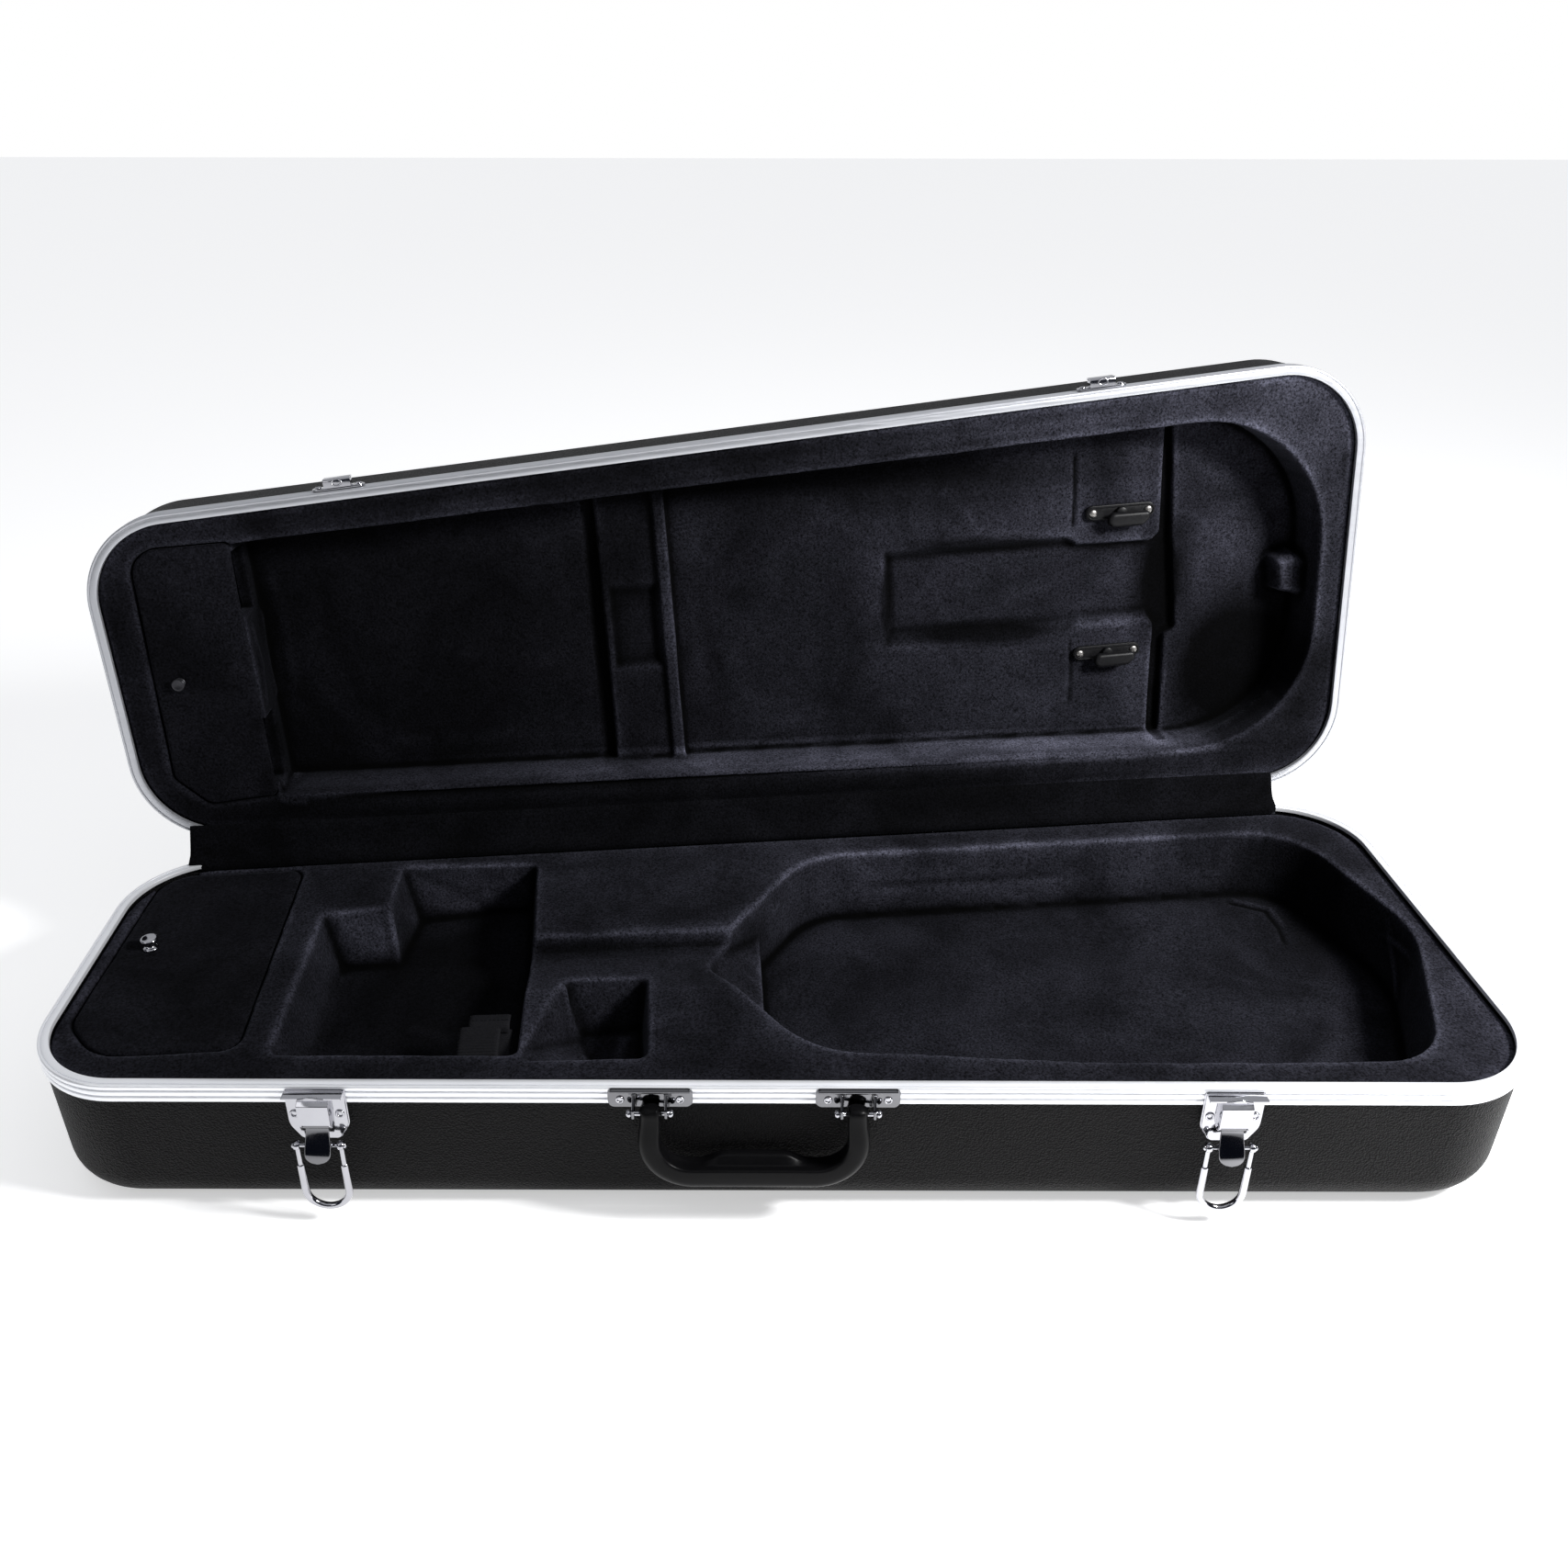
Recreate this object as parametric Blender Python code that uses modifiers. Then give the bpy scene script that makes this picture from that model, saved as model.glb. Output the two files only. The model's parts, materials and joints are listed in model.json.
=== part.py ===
"""Oblong violin case, lid open: moulded shells, aluminium rims, velvet inserts and hardware.

Frame: metres, +Z up. The origin is the middle of the base's flat underside, +X runs
towards the wide (body) end, +Y towards the rear hinges.
"""
import math

import bmesh
import bpy
from mathutils import Matrix, Vector

MM = 0.001

# ---- driving dimensions, millimetres and degrees -----------------------------------
RIM_LENGTH = 780.0          # inner edge of the rim, end to end
RIM_NARROW = 194.75         # inner width at the scroll end
RIM_WIDE = 277.83           # inner width at the body end
CORNER_NARROW = 48.9
CORNER_WIDE = 50.0
CORNER_STEPS = 7

PART_Z = 86.5               # height of the parting plane
WALL = 3.0
BASE_OUT = 4.74             # shell's outer face, outside the rim's inner edge
BASE_DRAFT = 1.5
BASE_FILLET = 21.6
LID_DEPTH = 58.8
LID_DRAFT = 1.06
LID_FILLET = 10.0

RIM_OUT = 5.9
RIM_HEIGHT = 10.8
RIM_CAP = 2.6
RIM_SKIRT = 0.85
FIT = 0.3                   # gap kept between pieces that touch

HINGE_OUT = 14.16           # hinge axis, outside the rim's inner edge
LID_OPEN = 95.8

BASE_VELVET = 5.0           # velvet surfaces, below and above the parting plane
LID_VELVET = 4.0
BODY_FLOOR = 52.0
SCROLL_FLOOR = 40.0
POCKET_FLOOR = 40.0
NECK_FLOOR = 14.0
BOX_FLOOR = 60.0
LID_FLOOR = 41.0
LID_RIB = 33.0
LID_PAD = 36.0
LID_RECESS = 46.0
DOOR_THICK = 4.0

LATCHES = {"left": 150.6, "right": 615.3}       # along the front edge, from its left corner
HANDLE_AT = 372.0
BRACKET_SPAN = 105.0
REAR_HINGES = {"left": 120.0, "middle": 390.0, "right": 660.0}

PI = math.pi
TILT = math.atan((RIM_WIDE - RIM_NARROW) / 2 / RIM_LENGTH)   # slope of the long edges in plan

for old in list(bpy.data.objects):
    bpy.data.objects.remove(old, do_unlink=True)

CASE = bpy.data.collections.new("violin_case")
CUTTERS = bpy.data.collections.new("cutters")
bpy.context.scene.collection.children.link(CASE)
bpy.context.scene.collection.children.link(CUTTERS)


# ---- materials -----------------------------------------------------------------------
def material(name, color, roughness, metallic):
    mat = bpy.data.materials.new(name)
    mat.use_nodes = True
    shader = mat.node_tree.nodes["Principled BSDF"]
    shader.inputs["Base Color"].default_value = (*color, 1.0)
    shader.inputs["Roughness"].default_value = roughness
    shader.inputs["Metallic"].default_value = metallic
    return mat


ABS = material("black_abs", (0.020, 0.020, 0.022), 0.55, 0.0)
ALU = material("satin_aluminium", (0.86, 0.87, 0.90), 0.30, 1.0)
VELVET = material("black_velvet", (0.012, 0.012, 0.016), 0.95, 0.0)
CHROME = material("chrome", (0.85, 0.85, 0.87), 0.08, 1.0)
STEEL = material("plated_steel", (0.72, 0.71, 0.69), 0.25, 1.0)
GRIP = material("black_handle", (0.025, 0.025, 0.027), 0.42, 0.0)
HOLDER = material("holder_plastic", (0.030, 0.030, 0.033), 0.35, 0.0)
WEBBING = material("black_webbing", (0.018, 0.018, 0.020), 0.85, 0.0)


# ---- shape helpers -------------------------------------------------------------------
def rounded(points):
    """A closed outline from (x, y, corner radius) in order, with arcs at the corners."""
    out = []
    count = len(points)
    for i, (x, y, r) in enumerate(points):
        p = Vector((x, y))
        a = (Vector(points[i - 1][:2]) - p).normalized()
        b = (Vector(points[(i + 1) % count][:2]) - p).normalized()
        turn = PI - a.angle(b)
        if r <= 0 or turn < 0.02:
            out.append(p)
            continue
        reach = r * math.tan(turn / 2)
        start = p + a * reach
        centre = p + (a + b).normalized() * (r / math.cos(turn / 2))
        first = start - centre
        side = 1.0 if a.x * b.y - a.y * b.x < 0 else -1.0
        steps = max(2, round(CORNER_STEPS * turn / (PI / 2)))
        for k in range(steps + 1):
            ang = side * turn * k / steps
            c, s = math.cos(ang), math.sin(ang)
            out.append(centre + Vector((first.x * c - first.y * s, first.x * s + first.y * c)))
    return out


def rim_outline(offset):
    """The case's plan, moved outwards by offset from the rim's inner edge."""
    half = RIM_LENGTH / 2
    c, t = math.cos(TILT), math.tan(TILT)
    left, right = -half - offset, half + offset
    yl = RIM_NARROW / 2 + offset / c - offset * t
    yr = RIM_WIDE / 2 + offset / c + offset * t
    rn, rw = CORNER_NARROW + offset, CORNER_WIDE + offset
    return rounded([(left, -yl, rn), (right, -yr, rw), (right, yr, rw), (left, yl, rn)])


def link(name, mesh, mat, collection=None):
    obj = bpy.data.objects.new(name, mesh)
    (collection or CASE).objects.link(obj)
    if mat:
        obj.data.materials.clear()
        obj.data.materials.append(mat)
    return obj


def slab_mesh(name, outline, z0, z1):
    """A flat outline extruded from z0 to z1."""
    bm = bmesh.new()
    verts = [bm.verts.new((p[0] * MM, p[1] * MM, z0 * MM)) for p in outline]
    face = bm.faces.new(verts)
    face.normal_update()
    if face.normal.z > 0:
        face.normal_flip()
    grown = bmesh.ops.extrude_face_region(bm, geom=[face], use_keep_orig=True)
    top = [v for v in grown["geom"] if isinstance(v, bmesh.types.BMVert)]
    bmesh.ops.translate(bm, vec=(0, 0, (z1 - z0) * MM), verts=top)
    bmesh.ops.recalc_face_normals(bm, faces=bm.faces)
    mesh = bpy.data.meshes.new(name)
    bm.to_mesh(mesh)
    bm.free()
    return mesh


def box_mesh(name, low, high):
    bm = bmesh.new()
    bmesh.ops.create_cube(bm, size=1.0)
    for v in bm.verts:
        v.co = Vector([(low[i] + (v.co[i] + 0.5) * (high[i] - low[i])) * MM for i in range(3)])
    mesh = bpy.data.meshes.new(name)
    bm.to_mesh(mesh)
    bm.free()
    return mesh


def rod_mesh(name, centre, axis, radius, length, sides=12):
    """A cylinder about centre, along 'X', 'Y' or 'Z'."""
    bm = bmesh.new()
    bmesh.ops.create_cone(bm, cap_ends=True, segments=sides, radius1=radius * MM,
                          radius2=radius * MM, depth=length * MM)
    turn = {"X": Matrix.Rotation(PI / 2, 4, "Y"), "Y": Matrix.Rotation(PI / 2, 4, "X"),
            "Z": Matrix.Identity(4)}[axis]
    bmesh.ops.transform(bm, matrix=Matrix.Translation(Vector(centre) * MM) @ turn, verts=bm.verts)
    mesh = bpy.data.meshes.new(name)
    bm.to_mesh(mesh)
    bm.free()
    return mesh


def cutter(mesh):
    obj = link("cut_" + mesh.name, mesh, None, CUTTERS)
    obj.hide_render = True
    obj.display_type = "WIRE"
    return obj


def boolean(obj, mesh, operation="DIFFERENCE"):
    mod = obj.modifiers.new(operation.lower(), "BOOLEAN")
    mod.operation = operation
    mod.solver = "EXACT"
    mod.object = cutter(mesh)
    mod.object.matrix_world = obj.matrix_world
    return mod


def place(obj, location, rotation=(0, 0, 0)):
    obj.location = Vector(location) * MM
    obj.rotation_euler = rotation
    bpy.context.view_layer.update()
    for mod in obj.modifiers:
        if mod.type == "BOOLEAN":
            mod.object.matrix_world = obj.matrix_world
    return obj


def tub_mesh(name, z_mouth, z_floor, out_mouth, out_floor, closed):
    """A drafted tray between two plan outlines; its floor edge is marked for the bevel."""
    bm = bmesh.new()
    weight = bm.edges.layers.float.new("bevel_weight_edge")
    mouth = [bm.verts.new((p.x * MM, p.y * MM, z_mouth * MM)) for p in rim_outline(out_mouth)]
    floor = [bm.verts.new((p.x * MM, p.y * MM, z_floor * MM)) for p in rim_outline(out_floor)]
    ring = [bm.edges.new((floor[i - 1], floor[i])) for i in range(len(floor))]
    rim = [bm.edges.new((mouth[i - 1], mouth[i])) for i in range(len(mouth))]
    bmesh.ops.bridge_loops(bm, edges=ring + rim)
    bm.faces.new(floor)
    if closed:
        bm.faces.new(mouth)
    for e in ring:
        e[weight] = 1.0
    bmesh.ops.recalc_face_normals(bm, faces=bm.faces)
    mesh = bpy.data.meshes.new(name)
    flat = next(f for f in bm.faces if len(f.verts) > 4 and abs(f.calc_center_median().z - z_floor * MM) < 1e-6)
    flat.normal_update()
    if flat.normal.z * (z_floor - z_mouth) < 0:
        bmesh.ops.reverse_faces(bm, faces=bm.faces)
    bm.to_mesh(mesh)
    bm.free()
    return mesh


def floor_bevel(obj, width):
    mod = obj.modifiers.new("floor_edge", "BEVEL")
    mod.limit_method = "WEIGHT"
    mod.width = width * MM
    mod.segments = 5
    mod.use_clamp_overlap = False
    mod.loop_slide = False
    return mod


def turned(name, profile, mat, steps=12):
    """A turned piece about local Z, from (radius, height) points listed top to bottom."""
    mesh = bpy.data.meshes.new(name)
    verts = [(r * MM, 0.0, z * MM) for r, z in profile]
    mesh.from_pydata(verts, [(i, i + 1) for i in range(len(verts) - 1)], [])
    obj = link(name, mesh, mat)
    mod = obj.modifiers.new("turn", "SCREW")
    mod.steps = steps
    mod.render_steps = steps
    mod.use_merge_vertices = True
    mod.merge_threshold = 0.00001
    mod.use_smooth_shade = True
    return obj


def wire_mesh(name, points, radii, resolution=2):
    """A tube along points, made a mesh with its caps welded."""
    curve = bpy.data.curves.new(name, "CURVE")
    curve.dimensions = "3D"
    curve.bevel_depth = MM
    curve.bevel_resolution = resolution
    curve.use_fill_caps = True
    spline = curve.splines.new("POLY")
    spline.points.add(len(points) - 1)
    for p, q, r in zip(spline.points, points, radii):
        p.co = (q[0] * MM, q[1] * MM, q[2] * MM, 1.0)
        p.radius = r
    guide = link("guide_" + name, curve, None, CUTTERS)
    graph = bpy.context.evaluated_depsgraph_get()
    mesh = bpy.data.meshes.new_from_object(guide.evaluated_get(graph))
    bpy.data.objects.remove(guide, do_unlink=True)
    bm = bmesh.new()
    bm.from_mesh(mesh)
    bmesh.ops.remove_doubles(bm, verts=bm.verts, dist=1e-6)
    bmesh.ops.recalc_face_normals(bm, faces=bm.faces)
    bm.to_mesh(mesh)
    bm.free()
    mesh.name = name
    return mesh


# ---- places on the case --------------------------------------------------------------
def front(along, out, z):
    """A point by distance along the front edge, outside the rim's inner edge, and height from the parting plane."""
    c, s = math.cos(TILT), math.sin(TILT)
    return (-RIM_LENGTH / 2 + along * c - out * s, -RIM_NARROW / 2 - along * s - out * c, PART_Z + z)


def rear(along, out, z):
    c, s = math.cos(TILT), math.sin(TILT)
    return (-RIM_LENGTH / 2 + along * c - out * s, RIM_NARROW / 2 + along * s + out * c, PART_Z + z)


FRONT_TURN = (0.0, 0.0, -TILT)
REAR_TURN = (0.0, 0.0, TILT)

# the lid is laid out closed, then carried open by this pivot on the hinge axis
pivot = bpy.data.objects.new("lid_pivot", None)
CASE.objects.link(pivot)
pivot.location = Vector(rear(390.0, HINGE_OUT, 0.0)) * MM
pivot.rotation_euler = REAR_TURN
bpy.context.view_layer.update()
CLOSED = pivot.matrix_world.inverted()
LID_PIECES = []


def on_lid(obj):
    LID_PIECES.append(obj)
    return obj


# ---- shells --------------------------------------------------------------------------
def drop(height, draft):
    return height * math.tan(math.radians(draft))


shell_top = PART_Z - RIM_CAP - FIT
base_shell = link("base_shell", tub_mesh("base_shell", shell_top, 0.0,
                                         BASE_OUT - drop(PART_Z - shell_top, BASE_DRAFT),
                                         BASE_OUT - drop(PART_Z, BASE_DRAFT), False), ABS)
floor_bevel(base_shell, BASE_FILLET)
skin = base_shell.modifiers.new("wall", "SOLIDIFY")
skin.thickness = WALL * MM
skin.offset = -1.0
skin.use_even_offset = True

lid_low = PART_Z + RIM_CAP + FIT
lid_top = PART_Z + LID_DEPTH
lid_shell = on_lid(link("lid_shell", tub_mesh("lid_shell", lid_low, lid_top,
                                              BASE_OUT - drop(lid_low - PART_Z, LID_DRAFT),
                                              BASE_OUT - drop(LID_DEPTH, LID_DRAFT), False), ABS))
floor_bevel(lid_shell, LID_FILLET)
skin = lid_shell.modifiers.new("wall", "SOLIDIFY")
skin.thickness = WALL * MM
skin.offset = -1.0
skin.use_even_offset = True


# ---- rims ----------------------------------------------------------------------------
def rim(name, z_face, way):
    """An extrusion with a cap on the mating side and a skirt over the shell's edge."""
    z_end = z_face + way * RIM_HEIGHT
    z_cap = z_face + way * RIM_CAP
    obj = link(name, slab_mesh(name, rim_outline(RIM_OUT), min(z_face, z_end), max(z_face, z_end)), ALU)
    boolean(obj, slab_mesh(name + "_mouth", rim_outline(0.0), PART_Z - 30, PART_Z + 30))
    under = sorted((z_cap, z_end + way * 1.0))
    boolean(obj, slab_mesh(name + "_under", rim_outline(RIM_OUT - RIM_SKIRT), under[0], under[1]))
    return obj


rim("base_valance", PART_Z - 0.1, -1)
on_lid(rim("lid_valance", PART_Z + 0.1, 1))

# ---- base insert ---------------------------------------------------------------------
velvet_z = PART_Z - BASE_VELVET
insert_floor = WALL + 0.35
inset = WALL + 0.4
base_insert = link("base_insert", tub_mesh("base_insert", velvet_z, insert_floor,
                                           BASE_OUT - drop(BASE_VELVET, BASE_DRAFT) - inset,
                                           BASE_OUT - drop(PART_Z - insert_floor, BASE_DRAFT) - inset, True), VELVET)
floor_bevel(base_insert, BASE_FILLET - 1.5)

BODY = [(-44, -6, 20), (-8, 98, 65), (352, 114, 45), (384, 2, 75), (343, -114, 42), (164, -107, 0), (12, -89, 60)]
SCROLL = [(-273, 47, 3), (-234, 52.5, 2), (-234.5, 94, 3), (-151, 93, 3), (-146, -86.5, 3), (-270, -80, 6)]
POCKET = [(-141, -20.5, 3), (-75, -20.5, 4), (-73, -91, 5), (-140, -88, 3)]
NECK = [(-155, 16.5, 0), (-20, 20, 0), (-20, -18, 0), (-155, -15.5, 0)]
DOOR = [(-381, 93, 22), (-297, 97, 8), (-289.6, -74, 10), (-362, -76, 30), (-384, -50, 20)]
LIP = 0.6


def grow(points, amount):
    """The same corners moved outwards from their middle by amount."""
    cx = sum(p[0] for p in points) / len(points)
    cy = sum(p[1] for p in points) / len(points)
    return [(x + math.copysign(amount, x - cx), y + math.copysign(amount, y - cy), max(r + amount, 0.5)) for x, y, r in points]


boolean(base_insert, slab_mesh("body_space", rounded(BODY), PART_Z - BODY_FLOOR, PART_Z + 4))
# a ramp under the heel of the neck, in the narrow end of the body space
ramp = slab_mesh("heel_ramp", [(-56, -BODY_FLOOR - 1.5), (-9, -BODY_FLOOR - 1.5), (-9, -30), (-36, -14.6), (-56, -14.6)], -66.0, 66.0)
ramp.transform(Matrix(((1, 0, 0, 0), (0, 0, -1, 0), (0, 1, 0, PART_Z * MM), (0, 0, 0, 1))))
boolean(base_insert, ramp, "UNION")
boolean(base_insert, slab_mesh("scroll_space", rounded(SCROLL), PART_Z - SCROLL_FLOOR, PART_Z + 4))
boolean(base_insert, slab_mesh("pocket_space", rounded(POCKET), PART_Z - POCKET_FLOOR, PART_Z + 4))
boolean(base_insert, slab_mesh("neck_space", rounded(NECK), PART_Z - NECK_FLOOR, PART_Z + 4))
boolean(base_insert, slab_mesh("door_seat", rounded(grow(DOOR, LIP)), velvet_z - DOOR_THICK - LIP, PART_Z + 4))
boolean(base_insert, slab_mesh("box_space", rounded(grow(DOOR, -7.0)), PART_Z - BOX_FLOOR, PART_Z + 4))

# ---- lid insert ----------------------------------------------------------------------
lid_velvet = PART_Z + LID_VELVET
lid_back = PART_Z + LID_DEPTH - WALL - 0.35
lid_insert = on_lid(link("lid_insert", tub_mesh("lid_insert", lid_velvet, lid_back,
                                                BASE_OUT - drop(LID_VELVET, LID_DRAFT) - inset,
                                                BASE_OUT - drop(lid_back - PART_Z, LID_DRAFT) - inset, True), VELVET))
floor_bevel(lid_insert, LID_FILLET)

FRONT_LEFT, FRONT_RIGHT = (-309.5, -83.5), (374.0, -114.4)      # corners of the space in the lid
REAR_LEFT, REAR_RIGHT = (-310.5, 81.2), (374.0, 115.9)


def across(x_front, x_rear, give=0.0):
    """Where a line across the lid's space meets its front and rear walls, less give at both ends."""
    (ax, ay), (bx, by) = FRONT_LEFT, FRONT_RIGHT
    (dx, dy), (cx, cy) = REAR_LEFT, REAR_RIGHT
    return ((x_front, ay + (by - ay) * (x_front - ax) / (bx - ax) + give),
            (x_rear, dy + (cy - dy) * (x_rear - dx) / (cx - dx) - give))


def strip(left, right, give):
    """The corners of a band that runs across the lid's space, between two such lines."""
    a, d = across(*left, give)
    b, c = across(*right, give)
    return [(*a, 0), (*b, 0), (*c, 0), (*d, 0)]


LOBE = [(*FRONT_RIGHT, 84), (*REAR_RIGHT, 80)]
LID_SPACE = [(*FRONT_LEFT, 2)] + LOBE + [(*REAR_LEFT, 2)]
rib_front, rib_rear = across(-98.8, -101.4, 0.05)
LID_LEFT = [(*FRONT_LEFT, 2), (*rib_front, 0), (*rib_rear, 0), (*REAR_LEFT, 2)]
ridge_front, ridge_rear = across(-49.5, -50.2, 0.05)
LID_RIGHT = [(*ridge_front, 0)] + LOBE + [(*ridge_rear, 0)]
PAD = strip((-96.0, -98.0), (-56.0, -56.6), 1.1)
GROOVE = strip((-99.6, -102.2), (-93.0, -95.0), 0.7)
NOTCH = [(-90.0, -30.0, 1), (-57.5, -29.5, 1), (-58.5, 28.0, 1), (-91.5, 27.8, 1)]
RECESS = [(91.5, -35.5, 2), (214, -35.6, 1), (223.7, -29, 1), (283.5, -28.3, 0), (284.5, 28, 0), (226, 28.4, 1), (218, 33, 1), (90.6, 32.3, 2)]
TALL = [(280, -109, 0), (285.4, -109, 0), (287, -33, 0), (292.6, 36, 0), (285, 39, 0), (284.4, 110, 0), (276.2, 109.6, 0), (278.4, 31, 0), (279.6, -33, 0)]
TAB = [(354, -11, 3), (366, -14.5, 2), (377, -9, 1), (377, 16, 1), (357, 10.5, 3)]
LID_DOOR = [(-368, -84, 17), (-309.5, -84, 2), (-311.5, 80.5, 3), (-353, 82.5, 8), (-371.5, 63, 8)]
SLOT_TOP, SLOT_DEEP = 6.0, 28.0         # bow tip slots: notches in the wall beside the lid compartment
SLOT_A = [(-330, -78, 1), (-300, -78, 1), (-300, -38, 1), (-330, -38, 1)]
SLOT_B = [(-330, 30, 1), (-300, 30, 1), (-300, 75, 1), (-330, 75, 1)]

boolean(lid_insert, slab_mesh("lid_space", rounded(LID_SPACE), PART_Z - 4, PART_Z + LID_RIB))
boolean(lid_insert, slab_mesh("lid_space_left", rounded(LID_LEFT), PART_Z + 6, PART_Z + LID_FLOOR))
boolean(lid_insert, slab_mesh("lid_space_right", rounded(LID_RIGHT), PART_Z + 6.5, PART_Z + LID_FLOOR + 0.05))
boolean(lid_insert, slab_mesh("lid_pad", rounded(PAD), PART_Z + 20, PART_Z + LID_PAD))
boolean(lid_insert, slab_mesh("lid_notch", rounded(NOTCH), PART_Z + 21, PART_Z + 39))
boolean(lid_insert, slab_mesh("lid_groove", rounded(GROOVE), PART_Z + 7, PART_Z + LID_RECESS - 0.5))
boolean(lid_insert, slab_mesh("lid_recess", rounded(RECESS), PART_Z + 25, PART_Z + LID_RECESS))
boolean(lid_insert, slab_mesh("lid_tall_groove", rounded(TALL), PART_Z + 26, PART_Z + LID_RECESS + 0.3))
boolean(lid_insert, slab_mesh("lid_tab", rounded(TAB), PART_Z + 24, PART_Z + LID_FLOOR + 2), "UNION")
boolean(lid_insert, slab_mesh("lid_door_seat", rounded(grow(LID_DOOR, LIP)), PART_Z - 4, lid_velvet + DOOR_THICK + LIP))
boolean(lid_insert, slab_mesh("lid_box", rounded(grow(LID_DOOR, -7.0)), PART_Z - 4, PART_Z + 46))
boolean(lid_insert, slab_mesh("bow_slot_a", rounded(SLOT_A), PART_Z + SLOT_TOP, PART_Z + SLOT_DEEP))
boolean(lid_insert, slab_mesh("bow_slot_b", rounded(SLOT_B), PART_Z + SLOT_TOP, PART_Z + SLOT_DEEP))


# ---- doors and knobs -----------------------------------------------------------------
def shifted(points, dx, dy):
    return [(x - dx, y - dy, r) for x, y, r in points]


def spool(name, r, h):
    """A turned pull knob with a flange at each end."""
    return turned(name, [(0.0, h), (r * 0.8, h), (r, h * 0.86), (r, h * 0.72), (r * 0.5, h * 0.56),
                         (r * 0.5, h * 0.28), (r * 0.85, h * 0.12), (r * 0.85, 0.0), (0.0, 0.0)], CHROME)


DOOR_PIVOT = (-293.0, 11.0, velvet_z - 0.3)
door = link("accessory_door", slab_mesh("accessory_door", rounded(shifted(DOOR, DOOR_PIVOT[0], DOOR_PIVOT[1])),
                                        -DOOR_THICK, 0.0), VELVET)
place(door, DOOR_PIVOT)
knob = spool("accessory_door_knob", 4.8, 7.4)
place(knob, (-364.0, 16.5, velvet_z - 0.2))

LID_DOOR_PIVOT = (-310.5, -2.0, lid_velvet + 0.3)
lid_door = on_lid(link("lid_box_door", slab_mesh("lid_box_door", rounded(shifted(LID_DOOR, LID_DOOR_PIVOT[0], LID_DOOR_PIVOT[1])),
                                                 0.0, DOOR_THICK), VELVET))
place(lid_door, LID_DOOR_PIVOT)
lid_knob = on_lid(spool("lid_box_knob", 4.0, 4.2))
place(lid_knob, (-355.0, 0.2, lid_velvet + 0.2), (PI, 0.0, 0.0))


# ---- rear hinges ---------------------------------------------------------------------
KNUCKLE = 3.2
PIN = 1.5
LEAF = 50.0


def leaf(name, way, spans):
    """A rear hinge leaf: plate on the rim, web, and its share of the knuckles."""
    edge = -HINGE_OUT + RIM_OUT + 0.2
    z = sorted((way * 1.6, way * 9.6))
    obj = link(name, box_mesh(name, (-LEAF / 2, edge, z[0]), (LEAF / 2, edge + 1.2, z[1])), STEEL)
    web = sorted((way * 1.6, way * 2.8))
    for i, (a, b) in enumerate(spans):
        boolean(obj, box_mesh(f"{name}_web{i}", (a, edge + 0.4, web[0]), (b, -0.6, web[1])), "UNION")
        boolean(obj, rod_mesh(f"{name}_knuckle{i}", ((a + b) / 2, 0, 0), "X", KNUCKLE, b - a, 12), "UNION")
    boolean(obj, rod_mesh(name + "_bore", (0, 0, 0), "X", PIN + 0.06, LEAF + 4, 12))
    return obj


for side, along in REAR_HINGES.items():
    at = rear(along, HINGE_OUT, 0.0)
    place(leaf(f"rear_hinge_base_leaf_{side}", -1, [(-25.0, -8.2), (8.2, 25.0)]), at, REAR_TURN)
    on_lid(place(leaf(f"rear_hinge_lid_leaf_{side}", 1, [(-7.9, 7.9)]), at, REAR_TURN))
    place(link(f"rear_hinge_pin_{side}", rod_mesh(f"rear_hinge_pin_{side}", (0, 0, 0), "X", PIN, LEAF + 1.6, 12), STEEL), at, REAR_TURN)


# ---- fasteners -----------------------------------------------------------------------
def rivet(name, at, facing, r=2.1, h=0.9):
    obj = turned(name, [(0.0, h), (r * 0.62, h * 0.86), (r, h * 0.35), (r, 0.0), (0.0, 0.0)], CHROME, 10)
    return place(obj, at, facing)


FRONT_FACING = (PI / 2, 0.0, -TILT)     # local Z turned to point out of the front wall

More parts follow.
